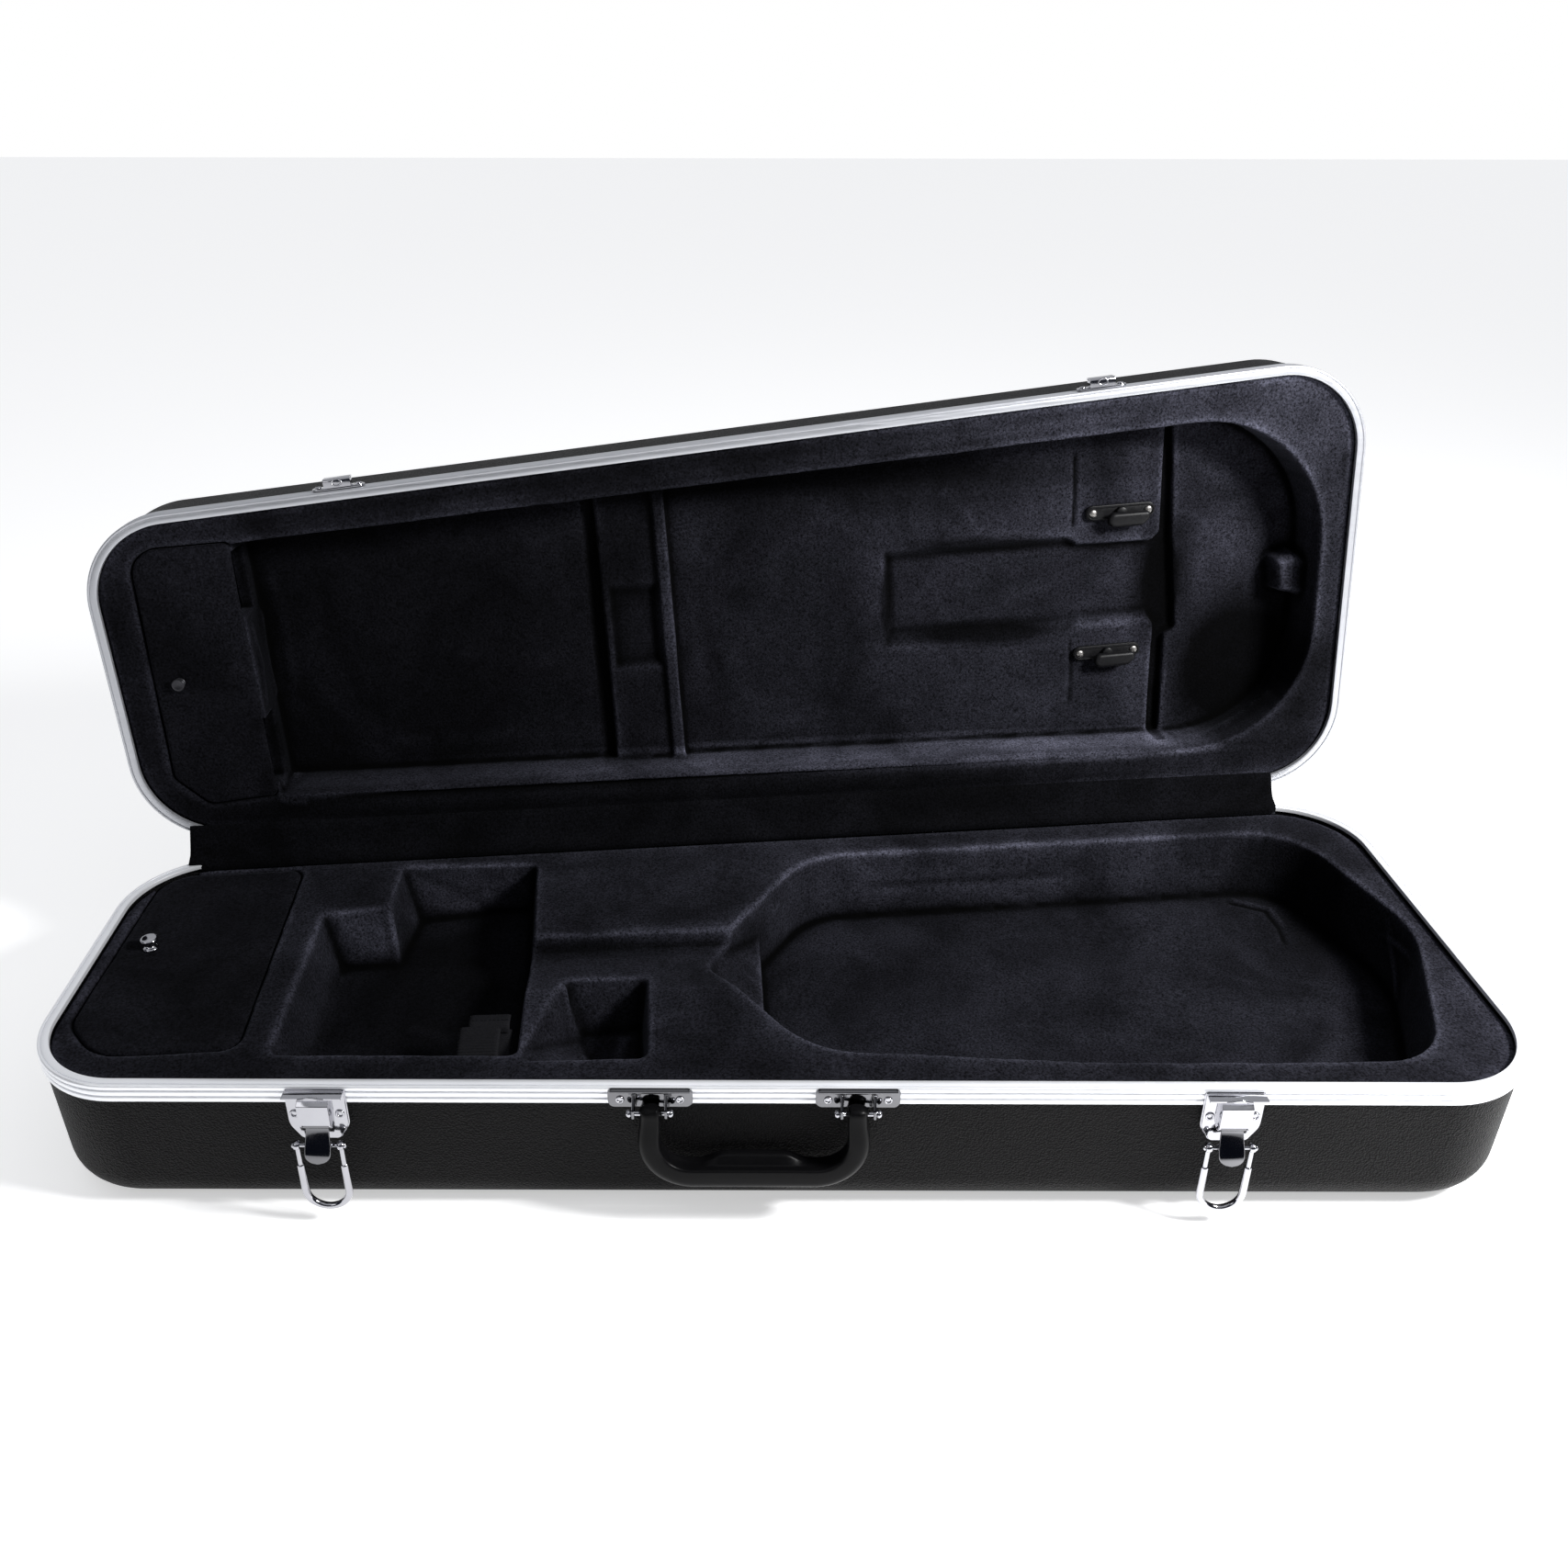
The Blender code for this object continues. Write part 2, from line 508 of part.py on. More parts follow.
# ---- handle --------------------------------------------------------------------------
PLATE_IN = RIM_OUT + 0.25
PLATE = 1.2
AXIS_OUT = 11.5
AXIS_DROP = -12.0
for side, sign in (("left", -1), ("right", 1)):
    along = HANDLE_AT + sign * BRACKET_SPAN / 2
    name = f"handle_bracket_{side}"
    plate = slab_mesh(name, rounded([(-21, -11.6, 3), (21, -11.6, 3), (21, -0.6, 3), (-21, -0.6, 3)]), 0.0, PLATE)
    obj = link(name, plate, CHROME)
    for i, x in enumerate((-9.0, 7.6)):
        ear = slab_mesh(f"{name}_ear{i}", rounded([(-AXIS_OUT + PLATE_IN + PLATE, -3.0, 0), (-1.5, -5.5, 1), (3.1, -9.0, 2.5), (3.1, -16.0, 2.8),
                                                   (-2.9, -16.0, 2.8), (-AXIS_OUT + PLATE_IN + 0.3, -11.0, 0), (-AXIS_OUT + PLATE_IN + 0.3, -3.0, 0)]), x, x + 1.4)
        ear.transform(Matrix(((0, 0, 1, 0), (0, 1, 0, 0), (1, 0, 0, (AXIS_OUT - PLATE_IN) * MM), (0, 0, 0, 1))))
        boolean(obj, ear, "UNION")
    boolean(obj, box_mesh(name + "_window", (-7.2, -14.0, -2.0), (7.2, -3.0, PLATE + 2.0)))
    boolean(obj, rod_mesh(name + "_pinhole", (0, AXIS_DROP, AXIS_OUT - PLATE_IN), "X", 1.36, 40, 10))
    place(obj, front(along, PLATE_IN, 0.0), FRONT_FACING)
    for end, x in (("outer", sign * 15.8), ("inner", -sign * 15.8)):
        rivet(f"handle_rivet_{side}_{end}", front(along + x, PLATE_IN + PLATE + 0.1, -6.1), FRONT_FACING)
    pin = turned(f"handle_pin_{side}", [(0.0, 11.6), (1.5, 11.2), (2.1, 10.2), (1.3, 9.2), (1.3, -9.2), (2.1, -10.2), (1.5, -11.2), (0.0, -11.6)], CHROME, 10)
    place(pin, front(along, AXIS_OUT, AXIS_DROP), (0.0, PI / 2, -TILT))

# the grip hangs from the pins; local X runs along the front, local Y inwards, origin on the axis
half = BRACKET_SPAN / 2
DROP = 38.5
CORNER = 21.0
points = [(-half, 0.0, -1.0), (-half, 0.0, -6.0), (-half - 0.6, -0.6, -13.0)]
radii = [4.1, 4.6, 5.4]
for k in range(7):
    a = PI + (PI / 2) * k / 6
    points.append((-half + CORNER - 0.6 + CORNER * math.cos(a), -0.6, -DROP + CORNER + CORNER * math.sin(a)))
    radii.append(6.0 + 1.6 * k / 6)
points += [(-x, y, z) for x, y, z in reversed(points)]
radii += list(reversed(radii))
grip = link("handle_grip", wire_mesh("handle_grip", points, radii, 3), GRIP)
for i, sign in enumerate((-1, 1)):
    boolean(grip, rod_mesh(f"handle_eye{i}", (sign * half, 0, 0), "X", 4.2, 10.4, 14), "UNION")
boolean(grip, rod_mesh("handle_grip_bore", (0, 0, 0), "X", 1.37, 140, 10))
for i, sign in enumerate((-1, 1)):
    for j, x in enumerate((-20.0, 5.25)):
        boolean(grip, box_mesh(f"handle_flat{i}{j}", (sign * half + x, -9, -6.0), (sign * half + x + 14.75, 9, 9)))
place(grip, front(HANDLE_AT, AXIS_OUT, AXIS_DROP), FRONT_TURN)

# ---- latches -------------------------------------------------------------------------
LEVER_OUT = 10.4
LEVER_DROP = -21.0
BAIL_OUT = 12.4
BAIL_DROP = -33.0
for side, along in LATCHES.items():
    name = f"latch_plate_{side}"
    plate = slab_mesh(name, rounded([(-15, -1.9, 2), (-15, -24, 9), (-9.5, -33, 3), (9.5, -33, 3), (15, -24, 9), (15, -1.9, 2)]), 0.0, PLATE)
    obj = link(name, plate, CHROME)
    boolean(obj, box_mesh(name + "_housing", (-8.0, -23.4, PLATE - 0.5), (8.0, -3.6, 7.0)), "UNION")
    boolean(obj, box_mesh(name + "_shelf", (-15.0, -3.2, PLATE - 0.4), (15.0, -2.0, 6.6)), "UNION")
    boolean(obj, box_mesh(name + "_inside", (-6.7, -24.0, PLATE), (6.7, -5.0, 5.9)))
    boolean(obj, box_mesh(name + "_mouth", (-6.7, -25.0, 4.0), (6.7, -18.0, 8.0)))
    place(obj, front(along, PLATE_IN, 0.0), FRONT_FACING)
    for end, x in (("left", -11.7), ("right", 11.7)):
        rivet(f"latch_rivet_{side}_{end}", front(along + x, PLATE_IN + PLATE + 0.1, -16.5), FRONT_FACING)
    place(link(f"latch_lever_pin_{side}", rod_mesh(f"latch_lever_pin_{side}", (0, 0, 0), "X", 1.0, 13.0, 10), STEEL),
          front(along, LEVER_OUT, LEVER_DROP), FRONT_TURN)

    # lever: local origin on its pin, local Y inwards, local Z up
    name = f"latch_lever_{side}"
    path = [(0.2, 0.0), (-0.4, -3.2), (-3.4, -10.0), (-5.6, -14.6), (-7.4, -19.2)]
    thick = 1.4
    shape = [(y + thick / 2, z, 0) for y, z in path] + [(y - thick / 2, z, 0) for y, z in reversed(path)]
    tab = slab_mesh(name, rounded(shape), -6.2, 6.2)
    tab.transform(Matrix(((0, 0, 1, 0), (1, 0, 0, 0), (0, 1, 0, 0), (0, 0, 0, 1))))
    obj = link(name, tab, CHROME)
    boolean(obj, rod_mesh(name + "_eye", (0, 0, 0), "X", 2.1, 12.4, 12), "UNION")
    bail_y, bail_z = LEVER_OUT - BAIL_OUT, BAIL_DROP - LEVER_DROP
    boolean(obj, rod_mesh(name + "_tube", (0, bail_y, bail_z), "X", 2.0, 12.4, 12), "UNION")
    boolean(obj, rod_mesh(name + "_bore", (0, 0, 0), "X", 1.06, 20, 10))
    boolean(obj, rod_mesh(name + "_tube_bore", (0, bail_y, bail_z), "X", 1.06, 20, 10))
    place(obj, front(along, LEVER_OUT, LEVER_DROP), FRONT_TURN)
    place(link(f"latch_bail_pin_{side}", rod_mesh(f"latch_bail_pin_{side}", (0, 0, 0), "X", 1.0, 26.4, 10), CHROME),
          front(along, BAIL_OUT, BAIL_DROP), FRONT_TURN)

    # bail: a wire loop hanging from its pin, wider in its lower half
    name = f"latch_bail_{side}"
    reach, length = 11.2, 42.0
    points = [(-reach, 0, 0), (-reach, 0, -13.0), (-reach, 0, -14.5), (-reach, 0, -length + reach)]
    radii = [1.35, 1.35, 1.95, 1.95]
    for k in range(1, 6):
        a = PI + (PI / 2) * k / 5
        points.append((reach * math.cos(a), 0, -length + reach + reach * math.sin(a)))
        radii.append(1.95)
    points += [(-x, y, z) for x, y, z in reversed(points[:-1])]
    radii += list(reversed(radii[:-1]))
    obj = link(name, wire_mesh(name, points, radii, 2), CHROME)
    for i, sign in enumerate((-1, 1)):
        boolean(obj, rod_mesh(f"{name}_eye{i}", (sign * reach, 0, 0), "X", 2.2, 2.9, 12), "UNION")
    boolean(obj, rod_mesh(name + "_bore", (0, 0, 0), "X", 1.06, 40, 10))
    place(obj, front(along, BAIL_OUT, BAIL_DROP), FRONT_TURN)

    # catch on the lid's rim: a plate with an upturned hook
    name = f"lid_catch_{side}"
    plate = slab_mesh(name, rounded([(-15.5, 2.0, 3.5), (15.5, 2.0, 3.5), (15.5, 10.0, 3.5), (-15.5, 10.0, 3.5)]), 0.0, PLATE)
    obj = link(name, plate, CHROME)
    hook = [(0.5, 3.0, 0), (6.4, 3.0, 2), (6.4, 9.5, 0), (5.2, 9.5, 0), (5.2, 4.4, 0.8), (0.5, 4.4, 0)]
    tongue = slab_mesh(name + "_hook", rounded(hook), -8.0, 8.0)
    tongue.transform(Matrix(((0, 0, 1, 0), (0, 1, 0, 0), (1, 0, 0, 0), (0, 0, 0, 1))))
    boolean(obj, tongue, "UNION")
    on_lid(place(obj, front(along, PLATE_IN, 0.0), FRONT_FACING))
    for end, x in (("left", -11.9), ("right", 11.9)):
        on_lid(rivet(f"catch_rivet_{side}_{end}", front(along + x, PLATE_IN + PLATE + 0.1, 6.0), FRONT_FACING, 1.9, 0.8))

# ---- bow spinners on the lid's floor -------------------------------------------------
FACING_DOWN = (PI, 0.0, 0.0)
for side, (x, y) in {"front": (250.8, -49.6), "rear": (244.3, 47.6)}.items():
    z = PART_Z + LID_FLOOR - 0.2
    name = f"bow_holder_base_{side}"
    base = link(name, slab_mesh(name, rounded([(-23.5, -5, 4.8), (23.5, -5, 4.8), (23.5, 5, 4.8), (-23.5, 5, 4.8)]), 0.0, 3.0), HOLDER)
    boolean(base, rod_mesh(name + "_post", (0, 0, 4.0), "Z", 3.6, 4.0, 14), "UNION")
    on_lid(place(base, (x, y, z), FACING_DOWN))
    for end, dx in (("left", -18.8), ("right", 18.8)):
        on_lid(rivet(f"bow_holder_screw_{side}_{end}", (x + dx, y, z - 3.1), FACING_DOWN, 2.6, 1.2))
    name = f"bow_holder_paddle_{side}"
    paddle = link(name, slab_mesh(name, rounded([(-11.5, -9.0, 4.6), (18, -9.0, 4.6), (18, 0.8, 4.6), (-11.5, 0.8, 4.6)]), 6.2, 10.6), HOLDER)
    on_lid(place(paddle, (x, y, z), FACING_DOWN))

# ---- neck strap ----------------------------------------------------------------------
def strap(name, x0, x1, path, thick):
    shape = [(y, z + thick / 2, 0) for y, z in path] + [(y, z - thick / 2, 0) for y, z in reversed(path)]
    mesh = slab_mesh(name, rounded(shape), x0, x1)
    mesh.transform(Matrix(((0, 0, 1, 0), (1, 0, 0, 0), (0, 1, 0, 0), (0, 0, 0, 1))))
    return link(name, mesh, WEBBING)


strap("neck_strap", -175.0, -153.0, [(-82.0, PART_Z - 26), (-80.0, PART_Z - 14), (-72.0, PART_Z - 8), (-62.0, PART_Z - 6), (-55.0, PART_Z - 5.5)], 1.6)
strap("neck_strap_backing", -168.0, -147.5, [(-81.0, PART_Z - 30), (-78.0, PART_Z - 18), (-70.0, PART_Z - 11.5), (-61.0, PART_Z - 8.8), (-53.5, PART_Z - 7.9)], 1.4)

# ---- gusset --------------------------------------------------------------------------
path = [(-2.2, -4.2), (-2.2, 1.2), (3.5, 3.4), (7.5, 8.5), (11.5, 16.0), (14.0, 19.5)]
thick = 1.0
left_side, right_side = [], []
for i, (t, z) in enumerate(path):
    a = Vector(path[max(i - 1, 0)])
    b = Vector(path[min(i + 1, len(path) - 1)])
    n = Vector((-(b - a).y, (b - a).x)).normalized() * thick / 2
    left_side.append((t + n.x, z + n.y, 0))
    right_side.append((t - n.x, z - n.y, 0))
mesh = slab_mesh("hinge_gusset", rounded(left_side + right_side[::-1]), -368.0, 351.0)
mesh.transform(Matrix(((0, 0, 1, 0), (1, 0, 0, 0), (0, 1, 0, 0), (0, 0, 0, 1))))
gusset = link("hinge_gusset", mesh, VELVET)
# its tucked edge stops where the rim's corners begin; the flap above the rim runs on
for i, (a, b) in enumerate(((-380.0, -345.0), (345.0, 380.0))):
    boolean(gusset, box_mesh(f"gusset_relief{i}", (a, -12.0, -12.0), (b, 4.6, 4.0)))
place(gusset, rear(390.0, 0.0, 0.0), REAR_TURN)

# ---- carry the lid open --------------------------------------------------------------
bpy.context.view_layer.update()
for obj in LID_PIECES:
    for piece in [obj] + [m.object for m in obj.modifiers if m.type == "BOOLEAN"]:
        world = piece.matrix_world.copy()
        piece.parent = pivot
        piece.matrix_parent_inverse = CLOSED
        piece.matrix_world = world
pivot.rotation_euler = (-math.radians(LID_OPEN), 0.0, TILT)
bpy.context.view_layer.update()

for obj in CASE.objects:
    if obj.type == "MESH":
        obj.data.shade_smooth()
        obj.data.set_sharp_from_angle(angle=math.radians(35))
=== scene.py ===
"""Looks for the violin case: shells, rims, velvet linings, hardware, studio."""

import json
import math

import bmesh
import bpy
import numpy as np
from mathutils import Matrix, Vector, noise


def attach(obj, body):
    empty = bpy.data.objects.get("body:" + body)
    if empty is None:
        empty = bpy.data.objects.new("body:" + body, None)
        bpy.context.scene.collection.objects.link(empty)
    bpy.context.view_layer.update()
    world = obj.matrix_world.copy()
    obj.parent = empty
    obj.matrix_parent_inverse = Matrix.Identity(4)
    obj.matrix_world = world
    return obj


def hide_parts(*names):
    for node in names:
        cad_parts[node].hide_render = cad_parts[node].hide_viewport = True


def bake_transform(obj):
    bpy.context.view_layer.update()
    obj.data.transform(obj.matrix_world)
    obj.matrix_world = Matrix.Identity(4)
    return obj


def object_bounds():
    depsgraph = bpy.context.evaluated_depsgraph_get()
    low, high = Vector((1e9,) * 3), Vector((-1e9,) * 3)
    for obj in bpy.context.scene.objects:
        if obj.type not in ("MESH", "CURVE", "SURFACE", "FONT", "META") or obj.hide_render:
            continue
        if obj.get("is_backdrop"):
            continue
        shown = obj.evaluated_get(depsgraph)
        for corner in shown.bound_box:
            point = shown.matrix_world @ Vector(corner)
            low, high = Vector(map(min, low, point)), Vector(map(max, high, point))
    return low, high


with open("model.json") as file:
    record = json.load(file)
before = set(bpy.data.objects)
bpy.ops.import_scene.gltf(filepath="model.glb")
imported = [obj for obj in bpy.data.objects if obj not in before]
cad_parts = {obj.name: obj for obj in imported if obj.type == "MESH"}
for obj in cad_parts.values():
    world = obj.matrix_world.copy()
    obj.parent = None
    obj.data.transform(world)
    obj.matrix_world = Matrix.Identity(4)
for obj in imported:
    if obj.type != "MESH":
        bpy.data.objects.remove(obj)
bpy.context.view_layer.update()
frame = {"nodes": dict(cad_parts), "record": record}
NODES = frame["nodes"]

MM = 0.001
PI = math.pi
HALF_LEN = 390.0
HALF_NARROW = 194.75 / 2
HALF_WIDE = 277.83 / 2
R_NARROW, R_WIDE = 48.9, 50.0
PART_Z = 86.5
TILT = math.atan((HALF_WIDE - HALF_NARROW) / (2 * HALF_LEN))
HINGE_OUT = 14.16
LID_OPEN = math.radians(95.8)
VELVET_Z = PART_Z - 5.0
LID_VELVET = PART_Z + 4.0
WALL = 3.0

scene = bpy.context.scene
PIECES = bpy.data.collections.new("looks")
scene.collection.children.link(PIECES)


# ---------------------------------------------------------------- places
def front(along, out, z):
    c, s = math.cos(TILT), math.sin(TILT)
    return Vector((-HALF_LEN + along * c - out * s, -HALF_NARROW - along * s - out * c, PART_Z + z))


def rear(along, out, z):
    c, s = math.cos(TILT), math.sin(TILT)
    return Vector((-HALF_LEN + along * c - out * s, HALF_NARROW + along * s + out * c, PART_Z + z))


HINGE = rear(390.0, HINGE_OUT, 0.0) * MM
HINGE_DIR = Vector((math.cos(TILT), math.sin(TILT), 0.0))
OPEN = Matrix.Translation(HINGE) @ Matrix.Rotation(-LID_OPEN, 4, HINGE_DIR) @ Matrix.Translation(-HINGE)


def front_frame(along, out, z):
    """Local x along the front edge, local y inwards, local z up."""
    return Matrix.Translation(front(along, out, z) * MM) @ Matrix.Rotation(-TILT, 4, "Z")


def wall_frame(along, out):
    """Local x along the front edge, local y up from the parting plane, local z out of the wall."""
    return front_frame(along, out, 0.0) @ Matrix.Rotation(PI / 2, 4, "X")


# ---------------------------------------------------------------- outlines
def rounded(points, steps=7):
    """A closed outline from (x, y, radius) corners, with the same number of points at every corner."""
    count = len(points)
    spots = [Vector(p[:2]) for p in points]
    turns, reach = [], []
    for i, (x, y, r) in enumerate(points):
        a = spots[i - 1] - spots[i]
        b = spots[(i + 1) % count] - spots[i]
        turns.append(PI - a.angle(b))
        reach.append(max(r, 0.3) * math.tan(turns[-1] / 2))
    scale = [1.0] * count
    for i in range(count):
        k = (i + 1) % count
        room = 0.98 * (spots[k] - spots[i]).length
        if reach[i] + reach[k] > room:
            share = room / (reach[i] + reach[k])
            scale[i], scale[k] = min(scale[i], share), min(scale[k], share)
    out = []
    for i in range(count):
        p = spots[i]
        a = (spots[i - 1] - p).normalized()
        b = (spots[(i + 1) % count] - p).normalized()
        turn = turns[i]
        if turn < 0.01:
            out += [p + b * (0.02 * (k - steps / 2)) for k in range(steps + 1)]
            continue
        r = scale[i] * reach[i] / math.tan(turn / 2)
        centre = p + (a + b).normalized() * (r / math.cos(turn / 2))
        first = p + a * (scale[i] * reach[i]) - centre
        side = 1.0 if a.x * b.y - a.y * b.x < 0 else -1.0
        for k in range(steps + 1):
            ang = side * turn * k / steps
            c, s = math.cos(ang), math.sin(ang)
            out.append(centre + Vector((first.x * c - first.y * s, first.x * s + first.y * c)))
    return out


def inset(points, d):
    """Corners of the polygon with every edge moved inwards by d."""
    count = len(points)
    area = sum(points[i - 1][0] * points[i][1] - points[i][0] * points[i - 1][1] for i in range(count))
    sign = 1.0 if area > 0 else -1.0
    out = []
    for i, (x, y, r) in enumerate(points):
        p = Vector((x, y))
        e0 = (p - Vector(points[i - 1][:2])).normalized()
        e1 = (Vector(points[(i + 1) % count][:2]) - p).normalized()
        n0 = Vector((-e0.y, e0.x)) * sign
        n1 = Vector((-e1.y, e1.x)) * sign
        m = (n0 + n1)
        m = m / max(m.length_squared / 2, 0.2)
        q = p + m * d
        bend = (e0.x * e1.y - e0.y * e1.x) * sign
        out.append((q.x, q.y, max(r - d if bend > 0 else r + d, 0.3)))
    return out


def rim_corners(offset):
    c, t = math.cos(TILT), math.tan(TILT)
    left, right = -HALF_LEN - offset, HALF_LEN + offset
    yl = HALF_NARROW + offset / c - offset * t
    yr = HALF_WIDE + offset / c + offset * t
    rn, rw = R_NARROW + offset, R_WIDE + offset
    return [(left, -yl, rn), (right, -yr, rw), (right, yr, rw), (left, yl, rn)]


def rim_outline(offset, steps=24):
    return rounded(rim_corners(offset), steps)


# ---------------------------------------------------------------- mesh helpers
def link(name, mesh, *mats):
    obj = bpy.data.objects.new(name, mesh)
    PIECES.objects.link(obj)
    if mats:
        obj.data.materials.clear()
        for mat in mats:
            obj.data.materials.append(mat)
    return obj


def tidy(mesh):
    bm = bmesh.new()
    bm.from_mesh(mesh)
    bmesh.ops.remove_doubles(bm, verts=bm.verts, dist=1e-7)
    bmesh.ops.recalc_face_normals(bm, faces=bm.faces)
    bm.to_mesh(mesh)
    bm.free()
    return mesh


def mesh_from(name, verts, faces):
    mesh = bpy.data.meshes.new(name)
    mesh.from_pydata([tuple(v) for v in verts], [], faces)
    mesh.update()
    return mesh


def rings_mesh(name, rings, loop=False):
    """A closed skin over rings of the same number of points, in metres; loop joins the last ring to the first."""
    verts, faces = [], []
    n, m = len(rings[0]), len(rings)
    for ring in rings:
        verts += ring
    for j in range(m if loop else m - 1):
        k = (j + 1) % m
        for i in range(n):
            h = (i + 1) % n
            faces.append((j * n + i, j * n + h, k * n + h, k * n + i))
    if not loop:
        faces.append(tuple(reversed(range(n))))
        faces.append(tuple((m - 1) * n + i for i in range(n)))
    return tidy(mesh_from(name, verts, faces))


def loft_mesh(name, rings):
    """A closed solid through rings of (outline, z), in millimetres, capped at both ends."""
    return rings_mesh(name, [[Vector((p[0], p[1], z)) * MM for p in outline] for outline, z in rings])


def slab(name, corners, z0, z1, steps=7):
    o = rounded(corners, steps)
    return loft_mesh(name, [(o, z0), (o, z1)])


def plate(name, corners, z0, z1, edge=0.3, steps=6):
    """A flat piece with its edges broken all round."""
    full, less, soft = rounded(corners, steps), rounded(inset(corners, edge), steps), rounded(inset(corners, edge * 0.3), steps)
    way = 1.0 if z1 > z0 else -1.0
    return loft_mesh(name, [(less, z0), (soft, z0 + way * edge * 0.3), (full, z0 + way * edge), (full, z1 - way * edge), (soft, z1 - way * edge * 0.3), (less, z1)])


def block(name, low, high, edge=0.3):
    (x0, y0, z0), (x1, y1, z1) = low, high
    return plate(name, [(x0, y0, edge), (x1, y0, edge), (x1, y1, edge), (x0, y1, edge)], z0, z1, edge, 3)


def lathe(name, profile, sides=28):
    """A turned solid about local z from (radius, height) points, in millimetres."""
    rings = []
    for r, z in profile:
        r = max(r, 0.003)
        rings.append([Vector((r * math.cos(2 * PI * i / sides), r * math.sin(2 * PI * i / sides), z)) * MM for i in range(sides)])
    return rings_mesh(name, rings)


def frames(points):
    """A direction and two cross directions at every point of a path, turned as little as possible."""
    pts = [Vector(p) for p in points]
    dirs = [(pts[min(i + 1, len(pts) - 1)] - pts[max(i - 1, 0)]).normalized() for i in range(len(pts))]
    seed = Vector((0, 1, 0)) if abs(dirs[0].y) < 0.9 else Vector((1, 0, 0))
    u = (seed - dirs[0] * seed.dot(dirs[0])).normalized()
    out = []
    for p, d in zip(pts, dirs):
        u = (u - d * u.dot(d)).normalized()
        out.append((p, d, u, d.cross(u)))
    return out


def wire(name, points, radii, sides=16):
    """A round wire along points, in millimetres, with softened ends."""
    rings = []
    fr = frames(points)
    r0, r1 = radii[0], radii[-1]
    steps = [(fr[0][0] - fr[0][1] * 0.0, r0 * 0.72, fr[0])] + [(f[0], r, f) for f, r in zip(fr, radii)] + [(fr[-1][0] + fr[-1][1] * 0.0, r1 * 0.72, fr[-1])]
    steps[0] = (fr[0][0] - fr[0][1] * r0 * 0.3, r0 * 0.72, fr[0])
    steps[-1] = (fr[-1][0] + fr[-1][1] * r1 * 0.3, r1 * 0.72, fr[-1])
    for p, r, (_, d, u, v) in steps:
        rings.append([(p + (u * math.cos(2 * PI * i / sides) + v * math.sin(2 * PI * i / sides)) * r) * MM for i in range(sides)])
    return rings_mesh(name, rings)


def joined(name, meshes):
    """One mesh from several, keeping each one's material numbers."""
    bm = bmesh.new()
    for mesh in meshes:
        bm.from_mesh(mesh)
    out = bpy.data.meshes.new(name)
    bm.to_mesh(out)
    bm.free()
    return out


def tinted(mesh, index):
    for p in mesh.polygons:
        p.material_index = index
    return mesh


def moved(mesh, matrix):
    mesh.transform(matrix)
    return mesh


def shift(x, y, z):
    return Matrix.Translation(Vector((x, y, z)) * MM)


def applied(obj):
    """The object's mesh with its modifiers applied, on a clean object of the same name."""
    graph = bpy.context.evaluated_depsgraph_get()
    mesh = bpy.data.meshes.new_from_object(obj.evaluated_get(graph))
    name = obj.name
    bpy.data.objects.remove(obj, do_unlink=True)
    mesh.name = name
    return link(name, mesh)


def carve(name, body, cuts):
    """A solid changed by (how, mesh) steps in order."""
    obj = link(name, body)
    tools = []
    for how, mesh in cuts:
        tool = link("tool", mesh)
        tools.append(tool)
        mod = obj.modifiers.new("cut", "BOOLEAN")
        mod.operation = {"cut": "DIFFERENCE", "add": "UNION"}[how]
        mod.solver = "EXACT"
        mod.object = tool
    bpy.context.view_layer.update()
    out = applied(obj)
    for t in tools:
        bpy.data.objects.remove(t, do_unlink=True)
    out.name = name
    return out


def soften(obj, voxel, rounds, factor=0.5):
    """Even quads and soft edges, as cloth over foam has."""
    mod = obj.modifiers.new("even", "REMESH")
    mod.mode = "VOXEL"
    mod.voxel_size = voxel * MM
    mod.adaptivity = 0.0
    sm = obj.modifiers.new("soft", "SMOOTH")
    sm.factor = factor
    sm.iterations = rounds
    bpy.context.view_layer.update()
    name = obj.name
    out = applied(obj)
    out.name = name
    return out


def thinned(obj, most):
    """Fewer faces where the surface is flat."""
    count = 2 * len(obj.data.polygons)
    if count <= most:
        return obj
    mod = obj.modifiers.new("thin", "DECIMATE")
    mod.ratio = most / count
    bpy.context.view_layer.update()
    name = obj.name
    out = applied(obj)
    out.name = name
    return out


def coords(obj):
    co = np.empty(len(obj.data.vertices) * 3)
    obj.data.vertices.foreach_get("co", co)
    return co.reshape(-1, 3)


def set_coords(obj, co):
    obj.data.vertices.foreach_set("co", np.ascontiguousarray(co, dtype=np.float64).ravel())
    obj.data.update()


def normals(obj):
    no = np.empty(len(obj.data.vertices) * 3)
    obj.data.vertices.foreach_get("normal", no)
    return no.reshape(-1, 3)


def undulate(obj, amount, size, seed, keep):
    """Low, uneven swell along the normals of the shown side, so that no face is dead flat."""
    co, no = coords(obj), normals(obj)
    off = Vector((seed * 3.1, seed * 1.7, seed * 5.3))
    n = np.zeros(len(co))
    for i in np.nonzero(keep(co))[0]:
        n[i] = noise.noise(Vector(co[i]) / (size * MM) + off)
    set_coords(obj, co + no * (n * amount * MM)[:, None])


